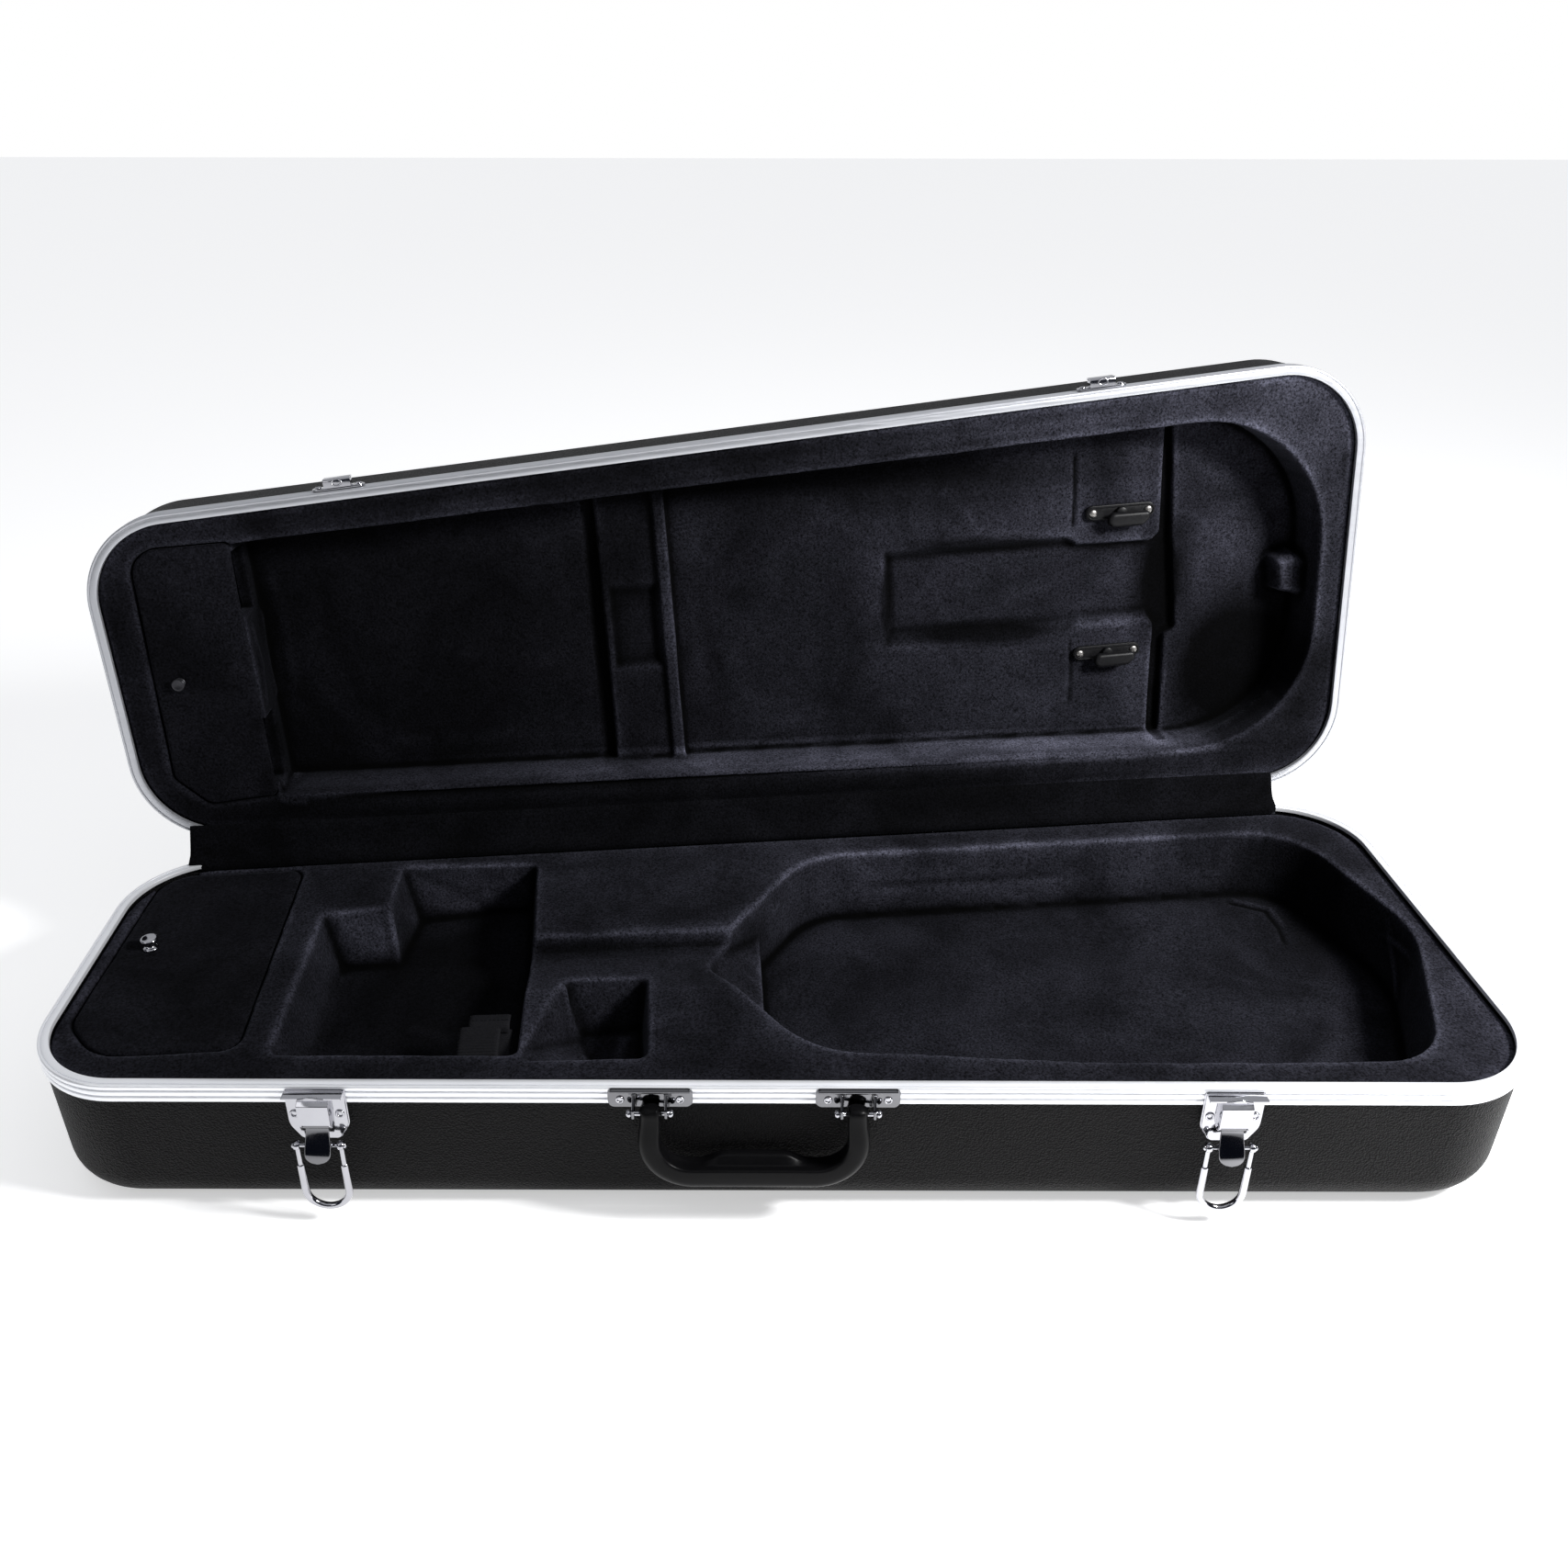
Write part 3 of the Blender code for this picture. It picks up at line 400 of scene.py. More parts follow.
def crease(obj, path, width, height, power=2.0, within=None):
    """A raised (or, below zero, sunken) fold along a path of points in millimetres, fading at its ends."""
    co, no = coords(obj), normals(obj)
    mm = co / MM
    pts = np.array(path, float)
    lens = np.linalg.norm(np.diff(pts, axis=0), axis=1)
    total = lens.sum()
    best = np.full(len(mm), 1e9)
    where = np.zeros(len(mm))
    run = 0.0
    for a, b, length in zip(pts[:-1], pts[1:], lens):
        d = b - a
        t = np.clip(((mm - a) @ d) / (d @ d), 0, 1)
        dist = np.linalg.norm(mm - (a + t[:, None] * d), axis=1)
        near = dist < best
        best[near] = dist[near]
        where[near] = (run + t[near] * length) / total
        run += length
    fade = np.clip(np.minimum(where, 1 - where) / 0.12, 0, 1)
    fade = fade * fade * (3 - 2 * fade)
    lift = height * np.exp(-(best / width) ** power) * fade
    if within is not None:
        lift *= within(mm)
    set_coords(obj, co + no * (lift * MM)[:, None])


def relief(obj, fine=6, broad=70):
    """Stores on every point how far it stands proud of, or sunk below, the surface around it, at two sizes."""
    co, no = coords(obj), normals(obj)
    ends = np.empty(len(obj.data.edges) * 2, np.int64)
    obj.data.edges.foreach_get("vertices", ends)
    a, b = ends.reshape(-1, 2).T
    count = len(co)
    share = np.bincount(a, minlength=count) + np.bincount(b, minlength=count)
    soft = co.copy()
    found = {}
    for k in range(1, broad + 1):
        total = np.stack([np.bincount(a, soft[b, i], count) + np.bincount(b, soft[a, i], count) for i in range(3)], axis=1)
        soft = 0.35 * soft + 0.65 * total / share[:, None]
        if k in (fine, broad):
            found[k] = np.einsum("ij,ij->i", no, co - soft) / MM
    for name, value in (("relief_fine", found[fine]), ("relief_broad", found[broad])):
        attribute = obj.data.attributes.new(name, "FLOAT", "POINT")
        attribute.data.foreach_set("value", value.astype(np.float32))
    return obj


def smooth(obj):
    obj.data.shade_smooth()
    return obj


def sharp(obj, angle=35):
    obj.data.shade_smooth()
    obj.data.set_sharp_from_angle(angle=math.radians(angle))
    return obj


def shown(obj, body, nodes):
    """The piece rides on a body and stands for those nodes."""
    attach(obj, body)
    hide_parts(*nodes)
    return obj


# ---------------------------------------------------------------- materials
def new_material(name):
    mat = bpy.data.materials.new(name)
    mat.use_nodes = True
    nt = mat.node_tree
    return mat, nt, nt.nodes["Principled BSDF"]


def node(nt, kind, **values):
    n = nt.nodes.new(kind)
    for k, v in values.items():
        if k in n.inputs:
            n.inputs[k].default_value = v
        else:
            setattr(n, k, v)
    return n


def ramp(nt, factor, stops):
    r = nt.nodes.new("ShaderNodeValToRGB")
    while len(r.color_ramp.elements) < len(stops):
        r.color_ramp.elements.new(0.5)
    for e, (pos, col) in zip(r.color_ramp.elements, stops):
        e.position = pos
        e.color = (*col, 1.0) if len(col) == 3 else col
    nt.links.new(factor, r.inputs["Fac"])
    return r.outputs["Color"]


def object_coords(nt):
    return nt.nodes.new("ShaderNodeTexCoord").outputs["Object"]


def bump(nt, shader, height, strength, distance):
    b = nt.nodes.new("ShaderNodeBump")
    b.inputs["Strength"].default_value = strength
    b.inputs["Distance"].default_value = distance
    nt.links.new(height, b.inputs["Height"])
    nt.links.new(b.outputs["Normal"], shader.inputs["Normal"])


def scaled(nt, value, low, high, to_low, to_high):
    n = node(nt, "ShaderNodeMapRange")
    n.inputs["From Min"].default_value = low
    n.inputs["From Max"].default_value = high
    n.inputs["To Min"].default_value = to_low
    n.inputs["To Max"].default_value = to_high
    nt.links.new(value, n.inputs["Value"])
    return n.outputs["Result"]


def times(nt, a, b):
    n = node(nt, "ShaderNodeMath", operation="MULTIPLY")
    nt.links.new(a, n.inputs[0])
    nt.links.new(b, n.inputs[1])
    return n.outputs["Value"]


# Gains from the relief attributes: ridges lighter, as rubbed pile and painted highlight; hollows darker, as painted
# shade.
WEAR_HIGHLIGHT_AND_HOLLOW_SHADE = (("relief_fine", -0.45, 0.45, 0.12, 1.88), ("relief_broad", -3.6, 3.6, 0.15, 1.85))


def velvet(name, tone, light_shade_and_nap_patches=(), wear_highlight_and_shade=(), across=()):
    """Short pile: fine speckle and broad brushed zones, with painted light and shade over them: marks at (centre mm,
    radii mm, turn, gain) that paint pools of light, highlights and cast shade, partly standing for nap; gains from
    the relief attributes that lighten ridges as rubbed pile and painted highlight and darken hollows as painted
    shade; and a painted falloff of light along x.
    """
    mat, nt, sh = new_material(name)
    where = object_coords(nt)
    nap = node(nt, "ShaderNodeTexNoise", Scale=13.0, Detail=3.0, Roughness=0.55, Distortion=0.9)
    streak = node(nt, "ShaderNodeTexNoise", Scale=55.0, Detail=2.0, Roughness=0.6, Distortion=1.2)
    fine = node(nt, "ShaderNodeTexNoise", Scale=720.0, Detail=2.0, Roughness=0.75)
    for n in (nap, streak, fine):
        nt.links.new(where, n.inputs["Vector"])
    gain = times(nt, scaled(nt, nap.outputs["Fac"], 0.34, 0.66, 0.55, 1.5), scaled(nt, streak.outputs["Fac"], 0.3, 0.7, 0.84, 1.17))
    gain = times(nt, gain, scaled(nt, fine.outputs["Fac"], 0.30, 0.70, 0.15, 2.1))
    # Relief gains: ridges lighter as rubbed pile and painted highlight, hollows darker as painted shade.
    for name_of, low, high, dark, light in wear_highlight_and_shade:
        held = node(nt, "ShaderNodeAttribute", attribute_name=name_of)
        gain = times(nt, gain, scaled(nt, held.outputs["Fac"], low, high, dark, light))
    # Painted falloff of light: the gain ramps with the object's x, as from a lamp at one end.
    if across:
        spot = nt.nodes.new("ShaderNodeSeparateXYZ")
        nt.links.new(where, spot.inputs[0])
        gain = times(nt, gain, ramp(nt, scaled(nt, spot.outputs["X"], -0.4, 0.4, 0.0, 1.0), [(t, (v, v, v)) for t, v in across]))
    # Painted light and shade: each mark scales the tone inside an ellipsoid, lighter for a pool of light or
    # highlight, darker for shade, partly standing for nap.
    for centre, radii, turn, strength in light_shade_and_nap_patches:
        place = node(nt, "ShaderNodeMapping", vector_type="TEXTURE")
        place.inputs["Location"].default_value = [c * MM for c in centre]
        place.inputs["Rotation"].default_value = turn
        place.inputs["Scale"].default_value = [r * MM for r in radii]
        nt.links.new(where, place.inputs["Vector"])
        ball = node(nt, "ShaderNodeTexGradient", gradient_type="SPHERICAL")
        nt.links.new(place.outputs["Vector"], ball.inputs["Vector"])
        gain = times(nt, gain, scaled(nt, ball.outputs["Fac"], 0.0, 0.55, 1.0, strength))
    mixed = node(nt, "ShaderNodeMix", data_type="RGBA", blend_type="MULTIPLY")
    mixed.inputs["Factor"].default_value = 1.0
    mixed.inputs["A"].default_value = (*tone, 1.0)
    nt.links.new(gain, mixed.inputs["B"])
    nt.links.new(mixed.outputs["Result"], sh.inputs["Base Color"])
    sh.inputs["Roughness"].default_value = 0.95
    sh.inputs["Specular IOR Level"].default_value = 0.04
    sh.inputs["Sheen Weight"].default_value = 0.035
    sh.inputs["Sheen Roughness"].default_value = 0.35
    sh.inputs["Sheen Tint"].default_value = (0.62, 0.66, 0.82, 1.0)
    bump(nt, sh, fine.outputs["Fac"], 0.6, 0.0007)
    return mat


def abs_plastic():
    mat, nt, sh = new_material("grained_abs")
    where = object_coords(nt)
    cells = node(nt, "ShaderNodeTexVoronoi", Scale=900.0, feature="SMOOTH_F1", Smoothness=0.4)
    fine = node(nt, "ShaderNodeTexNoise", Scale=1900.0, Detail=2.0)
    broad = node(nt, "ShaderNodeTexNoise", Scale=14.0, Detail=3.0)
    for n in (cells, fine, broad):
        nt.links.new(where, n.inputs["Vector"])
    col = ramp(nt, broad.outputs["Fac"], [(0.3, (0.0016, 0.0015, 0.0017)), (0.7, (0.0026, 0.0024, 0.0028))])
    nt.links.new(col, sh.inputs["Base Color"])
    rough = ramp(nt, cells.outputs["Distance"], [(0.0, (0.40,) * 3), (0.6, (0.54,) * 3)])
    nt.links.new(rough, sh.inputs["Roughness"])
    sh.inputs["Specular IOR Level"].default_value = 0.075
    add = node(nt, "ShaderNodeMath", operation="MULTIPLY_ADD")
    add.inputs[1].default_value = 0.35
    nt.links.new(fine.outputs["Fac"], add.inputs[0])
    nt.links.new(cells.outputs["Distance"], add.inputs[2])
    bump(nt, sh, add.outputs["Value"], 1.0, 0.0006)
    return mat


def metal(name, color, rough_low, rough_high, scale, stretch=(1, 1, 1), strength=0.05, body=1.0):
    mat, nt, sh = new_material(name)
    where = object_coords(nt)
    squeeze = node(nt, "ShaderNodeMapping")
    squeeze.inputs["Scale"].default_value = stretch
    nt.links.new(where, squeeze.inputs["Vector"])
    grain = node(nt, "ShaderNodeTexNoise", Scale=scale, Detail=4.0, Roughness=0.6)
    nt.links.new(squeeze.outputs["Vector"], grain.inputs["Vector"])
    col = ramp(nt, grain.outputs["Fac"], [(0.25, tuple(c * 0.95 for c in color)), (0.75, color)])
    nt.links.new(col, sh.inputs["Base Color"])
    rough = ramp(nt, grain.outputs["Fac"], [(0.3, (rough_low,) * 3), (0.7, (rough_high,) * 3)])
    nt.links.new(rough, sh.inputs["Roughness"])
    sh.inputs["Metallic"].default_value = body
    bump(nt, sh, grain.outputs["Fac"], strength, 0.0002)
    return mat


def plastic(name, dark, light, rough_low, rough_high, scale, strength, gloss):
    mat, nt, sh = new_material(name)
    where = object_coords(nt)
    grain = node(nt, "ShaderNodeTexNoise", Scale=scale, Detail=3.0, Roughness=0.6)
    nt.links.new(where, grain.inputs["Vector"])
    col = ramp(nt, grain.outputs["Fac"], [(0.3, dark), (0.7, light)])
    nt.links.new(col, sh.inputs["Base Color"])
    rough = ramp(nt, grain.outputs["Fac"], [(0.3, (rough_low,) * 3), (0.7, (rough_high,) * 3)])
    nt.links.new(rough, sh.inputs["Roughness"])
    sh.inputs["Specular IOR Level"].default_value = gloss
    bump(nt, sh, grain.outputs["Fac"], strength, 0.0002)
    return mat


PILE = (0.0082, 0.0083, 0.0112)
VELVET = velvet("black_velvet_pile", PILE)
ABS = abs_plastic()
# The lid rim is a darker copy of the rim aluminium: painted shade, so it reads darker than the base rim.
LID_ALU_PAINTED_SHADE = metal("lid_rim_aluminium_painted_shade", (0.50, 0.51, 0.54), 0.30, 0.42, 900.0, (0.03, 0.03, 1.0), 0.03, 0.75)
ALU = metal("rim_aluminium", (0.91, 0.92, 0.95), 0.30, 0.42, 900.0, (0.03, 0.03, 1.0), 0.03, 0.6)
CHROME = metal("bright_chrome", (0.46, 0.46, 0.49), 0.06, 0.13, 160.0, (1, 1, 1), 0.03)
SHADED = metal("shaded_chrome", (0.17, 0.17, 0.18), 0.05, 0.11, 160.0, (1, 1, 1), 0.03)
STEEL = metal("plated_steel_grain", (0.26, 0.25, 0.24), 0.30, 0.42, 300.0)
BRASS = metal("rivet_core", (0.55, 0.47, 0.40), 0.30, 0.42, 500.0)
GRIP = plastic("handle_moulding", (0.0020, 0.0020, 0.0023), (0.0032, 0.0031, 0.0035), 0.30, 0.40, 900.0, 0.08, 0.07)
HOLDER = plastic("holder_moulding", (0.004, 0.004, 0.0045), (0.007, 0.007, 0.008), 0.34, 0.46, 700.0, 0.08, 0.15)
SATIN = metal("dark_satin", (0.045, 0.045, 0.05), 0.32, 0.42, 400.0)
WEBBING = plastic("strap_webbing", (0.0036, 0.0036, 0.0044), (0.0095, 0.0095, 0.0112), 0.7, 0.85, 1500.0, 0.5, 0.06)
THREAD = plastic("stitch_thread", (0.040, 0.040, 0.042), (0.070, 0.070, 0.074), 0.6, 0.8, 2500.0, 0.3, 0.3)
# Near-black for painted shade: dark plates and blocks set round edges and inside openings and recesses where there is
# only shade.
PAINTED_SHADE_BLACK = plastic("shadowed_black", (0.0012, 0.0012, 0.0014), (0.0020, 0.0020, 0.0022), 0.7, 0.8, 900.0, 0.05, 0.1)

BY_SLOT = {"black_abs": ABS, "satin_aluminium": ALU, "black_velvet": VELVET, "chrome": CHROME, "plated_steel": STEEL,
           "black_handle": GRIP, "holder_plastic": HOLDER, "black_webbing": WEBBING}
for sub in frame["record"]["subparts"]:
    obj = NODES[sub["node"]]
    obj.data.materials.clear()
    obj.data.materials.append(BY_SLOT[sub["material_slot"]])


# ---------------------------------------------------------------- shells
def shell(name, mouth, floor, out, draft, fillet):
    """A drafted tray with a full-round floor edge and a 3 mm wall, from (mouth height, floor height)."""
    way = 1.0 if floor > mouth else -1.0
    slope = math.tan(math.radians(draft))
    place = lambda z: out - abs(z - PART_Z) * slope
    turn = math.radians(90.0 - draft)
    r = fillet / math.tan((PI - (PI / 2 + math.radians(draft))) / 2)

    def half(inner):
        base = floor - way * inner
        rad = max(r - inner, 1.0)
        skin = lambda z: place(z) - inner / math.cos(math.radians(draft))
        reach = rad * math.tan(turn / 2)
        start = base - way * reach * math.cos(math.radians(draft))
        rings = [(skin(mouth), mouth), (skin(mouth + 0.33 * (start - mouth)), mouth + 0.33 * (start - mouth)),
                 (skin(mouth + 0.66 * (start - mouth)), mouth + 0.66 * (start - mouth))]
        centre = skin(start) - rad * math.cos(math.radians(draft))
        for k in range(11):
            a = turn * k / 10 + math.radians(draft)
            rings.append((centre + rad * math.cos(a), base - way * rad + way * rad * math.sin(a)))
        return rings

    rings = half(0.0) + half(WALL)[::-1]
    loops = [[Vector((p.x, p.y, z)) * MM for p in rim_outline(o)] for o, z in rings]
    n, m = len(loops[0]), len(loops)
    verts = [v for ring in loops for v in ring]
    faces = []
    last = len(half(0.0)) - 1
    for j in range(m):
        k = (j + 1) % m
        if j == last:
            continue
        for i in range(n):
            h = (i + 1) % n
            faces.append((j * n + i, j * n + h, k * n + h, k * n + i))
    faces.append(tuple(last * n + i for i in range(n)))
    faces.append(tuple((last + 1) * n + i for i in reversed(range(n))))
    return sharp(link(name, tidy(mesh_from(name, verts, faces)), ABS), 40)


base_tub = shell("base_shell_moulding", PART_Z - 2.9, 0.0, 4.74, 1.5, 21.6)
shown(base_tub, "base", ["base_shell"])
lid_tub = shell("lid_shell_moulding", PART_Z + 2.9, PART_Z + 58.8, 4.74, 1.06, 10.0)
moved(lid_tub.data, OPEN)
shown(lid_tub, "lid", ["lid_shell"])


# ---------------------------------------------------------------- rims
def rim_profile():
    """(outward offset, height from the mating face) round the extrusion's section."""
    p = [(0.0, -2.5), (0.0, -0.4), (0.12, -0.12), (0.4, 0.0), (3.5, 0.0), (3.75, -0.12), (3.85, -0.5), (4.2, -0.5), (4.3, -0.12), (4.55, 0.0),
         (5.2, 0.0), (5.5, -0.12), (5.68, -0.4)]
    for top, tall in ((0.7, 2.5), (3.9, 3.0), (7.6, 2.9)):
        for k in range(9):
            t = k / 8
            p.append((5.55 + 0.35 * math.sin(PI * t) ** 0.45, -(top + tall * t)))
        p += [(4.95, -(top + tall + 0.10)), (4.95, -(top + tall + 0.60))]
    p = p[:-2] + [(5.3, -10.8), (5.05, -10.8), (4.72, -8.0), (4.72, -2.6), (4.5, -2.5)]
    return p


def rim_piece(name, way):
    rings = []
    for o, z in rim_profile():
        high = PART_Z + 0.1 - z if way > 0 else PART_Z - 0.1 + z
        rings.append([Vector((p.x, p.y, high)) * MM for p in rim_outline(o)])
    return sharp(link(name, rings_mesh(name, rings, loop=True), ALU if way < 0 else LID_ALU_PAINTED_SHADE), 40)


base_rim = rim_piece("base_rim_extrusion", -1)
shown(base_rim, "base", ["base_valance"])
lid_rim = rim_piece("lid_rim_extrusion", 1)
moved(lid_rim.data, OPEN)
shown(lid_rim, "lid", ["lid_valance"])

# ---------------------------------------------------------------- base lining
def depth(z):
    return PART_Z + z


def half_width(x):
    return HALF_NARROW + (x + HALF_LEN) * math.tan(TILT)


def inner_side(low, high, margin=5.0):
    """Picks the points well inside the rim's plan and between two heights."""
    def pick(co):
        x, y, z = (co / MM).T
        return (np.abs(y) < half_width(x) - margin) & (np.abs(x) < HALF_LEN - margin) & (z > low) & (z < high)
    return pick


BODY = [(-44, -6, 20), (24, 96.5, 50), (352, 114, 45), (384, 2, 75), (343, -114, 42), (164, -107, 400), (12, -89, 60)]
SCROLL_TOP = [(-272.6, 46.4, 2), (-233.7, 52.4, 1), (-234.3, 96.5, 2), (-190, 96, 20), (-149, 95.5, 2), (-143.9, 30, 20), (-141.8, -86, 4), (-272, -80, 7)]
SCROLL_LOW = [(-263.7, 38, 2), (-229.3, 39, 1), (-223.7, 85.5, 2), (-174, 94, 20), (-153, 94.5, 2), (-148, 30, 20), (-146, -84, 4), (-258, -78, 7)]
POCKET_TOP = [(-124, -18.5, 4), (-75, -18.5, 5), (-73, -92, 5), (-142, -90, 5)]
POCKET_LOW = [(-115, -35, 4), (-79, -31, 5), (-77, -88, 5), (-97, -87, 4)]
NECK_TOP = [(-150, 17.5, 1), (-22, 19.5, 1), (-22, -36, 3), (-150, -34, 3)]
NECK_LOW = [(-150, 15.5, 1), (-22, 17.0, 1), (-22, 8, 3), (-150, 8, 3)]
DOOR = [(-381, 93, 22), (-297, 97, 8), (-289.6, -74, 10), (-362, -76, 30), (-384, -50, 20)]


def pit(name, low, z_low, top, z_top, over=-1.5, way=1):
    """A cutter whose walls run from one outline up to another and on past the surface."""
    return loft_mesh(name, [(rounded(low), depth(z_low)), (rounded(top), depth(z_top)), (rounded(inset(top, over)), depth(z_top + way * 11))])


solid = loft_mesh("lining_block", [(rim_outline(-19.0, 20), 3.6), (rim_outline(-7.5, 20), 8.6), (rim_outline(-0.9, 20), 22.0), (rim_outline(1.0, 20), VELVET_Z)])
heel = slab("heel", [(-58, -54, 0), (-9, -54, 0), (-9, -30, 1), (-36, -14.0, 6), (-58, -14.0, 0)], -66.0, 66.0)
heel.transform(Matrix(((1, 0, 0, 0), (0, 0, -1, 0), (0, 1, 0, PART_Z * MM), (0, 0, 0, 1))))
tidy(heel)
base_lining = carve("base_lining", solid, [
    ("cut", pit("c1", inset(BODY, 3.0), -52, BODY, -5)),
    ("add", heel),
    ("cut", pit("c2", SCROLL_LOW, -40, SCROLL_TOP, -5)),
    ("cut", pit("c3", POCKET_LOW, -36, POCKET_TOP, -5)),
    ("cut", pit("c4", NECK_LOW, -14, NECK_TOP, -5)),
    ("cut", slab("c5", inset(DOOR, -1.2), VELVET_Z - 5.0, PART_Z + 6)),
    ("cut", slab("c6", inset(DOOR, 7.0), PART_Z - 58, PART_Z + 6)),
])
base_lining = soften(base_lining, 1.55, 3)
undulate(base_lining, 0.55, 40.0, 1, inner_side(14.0, 90.0))
F = PART_Z - 52.0
for path, width, height in [
    ([(308, 101, F), (333, 88, F), (335, 69, F), (332, 48, F)], 2.0, -1.1),
    ([(312, 104, F), (337, 90, F), (339, 70, F)], 2.2, 0.7),
    ([(381, 26, depth(-9)), (380, 8, depth(-30)), (376, -16, depth(-50))], 3.0, 1.8),
    ([(376, 46, depth(-40)), (380, 20, depth(-24)), (379, -30, depth(-14))], 2.6, 1.5),
    ([(378, -34, depth(-10)), (376, -24, depth(-32)), (374, -36, depth(-50))], 2.6, 1.4),
    ([(60, 97.5, depth(-30)), (200, 104, depth(-29))], 3.5, -0.7),
    ([(-110, -60, depth(-6)), (-104, -72, depth(-24)), (-99, -84, depth(-35))], 3.0, 1.7),
    ([(-124, -22, depth(-7)), (-113, -42, depth(-24)), (-108, -62, depth(-35))], 2.8, 1.6),
    ([(-88, -36, depth(-36)), (-92, -60, depth(-36)), (-86, -80, depth(-36))], 4.0, 1.5),
    ([(-234, 52, depth(-8)), (-231, 45, depth(-24)), (-229, 39, depth(-39))], 2.0, 0.9),
    ([(-263, 36, depth(-40)), (-261, -10, depth(-40)), (-258, -70, depth(-40))], 4.5, 1.8),
    ([(-215, -20, depth(-40)), (-190, -32, depth(-40)), (-172, -25, depth(-40))], 5.0, 1.0),
    ([(-152, -18, depth(-6)), (-153, -40, depth(-7)), (-150, -62, depth(-6))], 4.0, -1.0),
    ([(-330, 104, VELVET_Z), (-200, 110, VELVET_Z), (0, 119, VELVET_Z), (250, 131, VELVET_Z)], 3.0, -0.9),
]:
    crease(base_lining, path, width, height)
base_lining = relief(thinned(base_lining, 196000))
base_lining.data.materials.clear()
# Painted light and shade on the base lining: lighter marks on the rear walls of the body and scroll pits and in the
# pocket, darker marks on the scroll floor, the neck, the body floor, the front border and both ends, partly standing
# for nap; the ramp across x darkens the left end as a painted falloff of light.
base_lining.data.materials.append(velvet("base_velvet_pile", PILE, [
    ((-190, 10, 82), (95, 130, 90), (0, 0, 0), 0.62),
    ((-335, -30, 80), (70, 70, 60), (0, 0, 0), 0.55),
    ((150, 104, 58), (200, 10, 34), (0, 0, TILT), 2.0),
    ((-205, 0, 46), (75, 120, 13), (0, 0, 0), 0.22),
    ((80, -116, 86), (520, 40, 16), (0, 0, -TILT), 0.62),
    ((-190, 95, 64), (52, 9, 30), (0, 0, 0), 2.6),
    ((-250, 45, 64), (27, 9, 30), (0, 0, 0), 2.6),
    ((-100, -60, 62), (20, 36, 22), (0, 0, 0), 1.7),
    ((-30, 55, 58), (30, 40, 34), (0, 0, 0), 0.45),
    ((150, 0, 34), (260, 130, 12), (0, 0, 0), 0.72),
    ((355, 60, 55), (40, 60, 60), (0, 0, 0), 0.5),
], WEAR_HIGHLIGHT_AND_HOLLOW_SHADE, [(0.0, 0.6), (0.35, 0.85), (1.0, 0.9)]))
smooth(base_lining)
shown(base_lining, "base", ["base_insert"])


# ---------------------------------------------------------------- doors
def padded_panel(name, corners, z0, z1, voxel=1.2):
    body = loft_mesh(name, [(rounded(inset(corners, 0.7)), z0), (rounded(corners), z0 + 0.8), (rounded(corners), z1 - 0.9), (rounded(inset(corners, 0.8)), z1)])
    obj = soften(link(name, body), voxel, 3)
    undulate(obj, 0.3, 26.0, len(name), lambda co: np.ones(len(co), bool))
    obj.data.materials.clear()
    obj.data.materials.append(velvet(name + "_pile", tuple(0.5 * c for c in PILE)))
    return smooth(obj)


door = padded_panel("accessory_door_velvet", DOOR, VELVET_Z - 4.3, VELVET_Z - 0.3)
door.data.materials.clear()
# Painted shade: one darker mark over the door and a ramp across x that darkens its left side as a falloff of light.
door.data.materials.append(velvet("door_velvet_pile", PILE, [((-330, 20, 80), (90, 120, 60), (0, 0, 0), 0.5)], (), [(0.0, 0.6), (1.0, 1.0)]))
shown(door, "box_door", ["accessory_door"])

LID_DOOR = [(-368, -84, 17), (-309.5, -84, 2), (-311.5, 80.5, 3), (-353, 82.5, 8), (-371.5, 63, 8)]
lid_door = padded_panel("lid_box_door_velvet", LID_DOOR, LID_VELVET + 0.3, LID_VELVET + 4.3)
moved(lid_door.data, OPEN)
shown(lid_door, "lid_door", ["lid_box_door"])

# ---------------------------------------------------------------- lid lining
FRONT_LEFT, FRONT_RIGHT = (-309.5, -83.5), (374.0, -114.4)
REAR_LEFT, REAR_RIGHT = (-310.5, 81.2), (374.0, 115.9)


def across(x_front, x_rear, give=0.0):
    (ax, ay), (bx, by) = FRONT_LEFT, FRONT_RIGHT
    (dx, dy), (cx, cy) = REAR_LEFT, REAR_RIGHT
    return ((x_front, ay + (by - ay) * (x_front - ax) / (bx - ax) + give),
            (x_rear, dy + (cy - dy) * (x_rear - dx) / (cx - dx) - give))


def strip(left, right, give, r=0.5):
    a, d = across(*left, give)
    b, c = across(*right, give)
    return [(*a, r), (*b, r), (*c, r), (*d, r)]


LOBE = [(*FRONT_RIGHT, 84), (*REAR_RIGHT, 80)]
SPACE = [(*FRONT_LEFT, 3)] + LOBE + [(*REAR_LEFT, 3)]
rib_front, rib_rear = across(-98.8, -101.4, 0.3)
LEFT = [(*FRONT_LEFT, 3), (*rib_front, 0.5), (*rib_rear, 0.5), (*REAR_LEFT, 3)]
ridge_front, ridge_rear = across(-49.5, -50.2, 0.3)
RIGHT = [(*ridge_front, 0.5)] + LOBE + [(*ridge_rear, 0.5)]
PAD = strip((-93.0, -95.0), (-56.0, -56.6), 0.6)
GROOVE = strip((-101.6, -104.2), (-92.6, -94.6), 0.5)
NOTCH_TOP = [(-89.5, -30, 1), (-57.5, -29.5, 1), (-58.5, 28, 1), (-90, 27.8, 1)]
NOTCH_LOW = [(-87.5, -24.4, 1), (-60, -23.3, 1), (-61.4, 23.8, 1), (-88, 23.4, 1)]
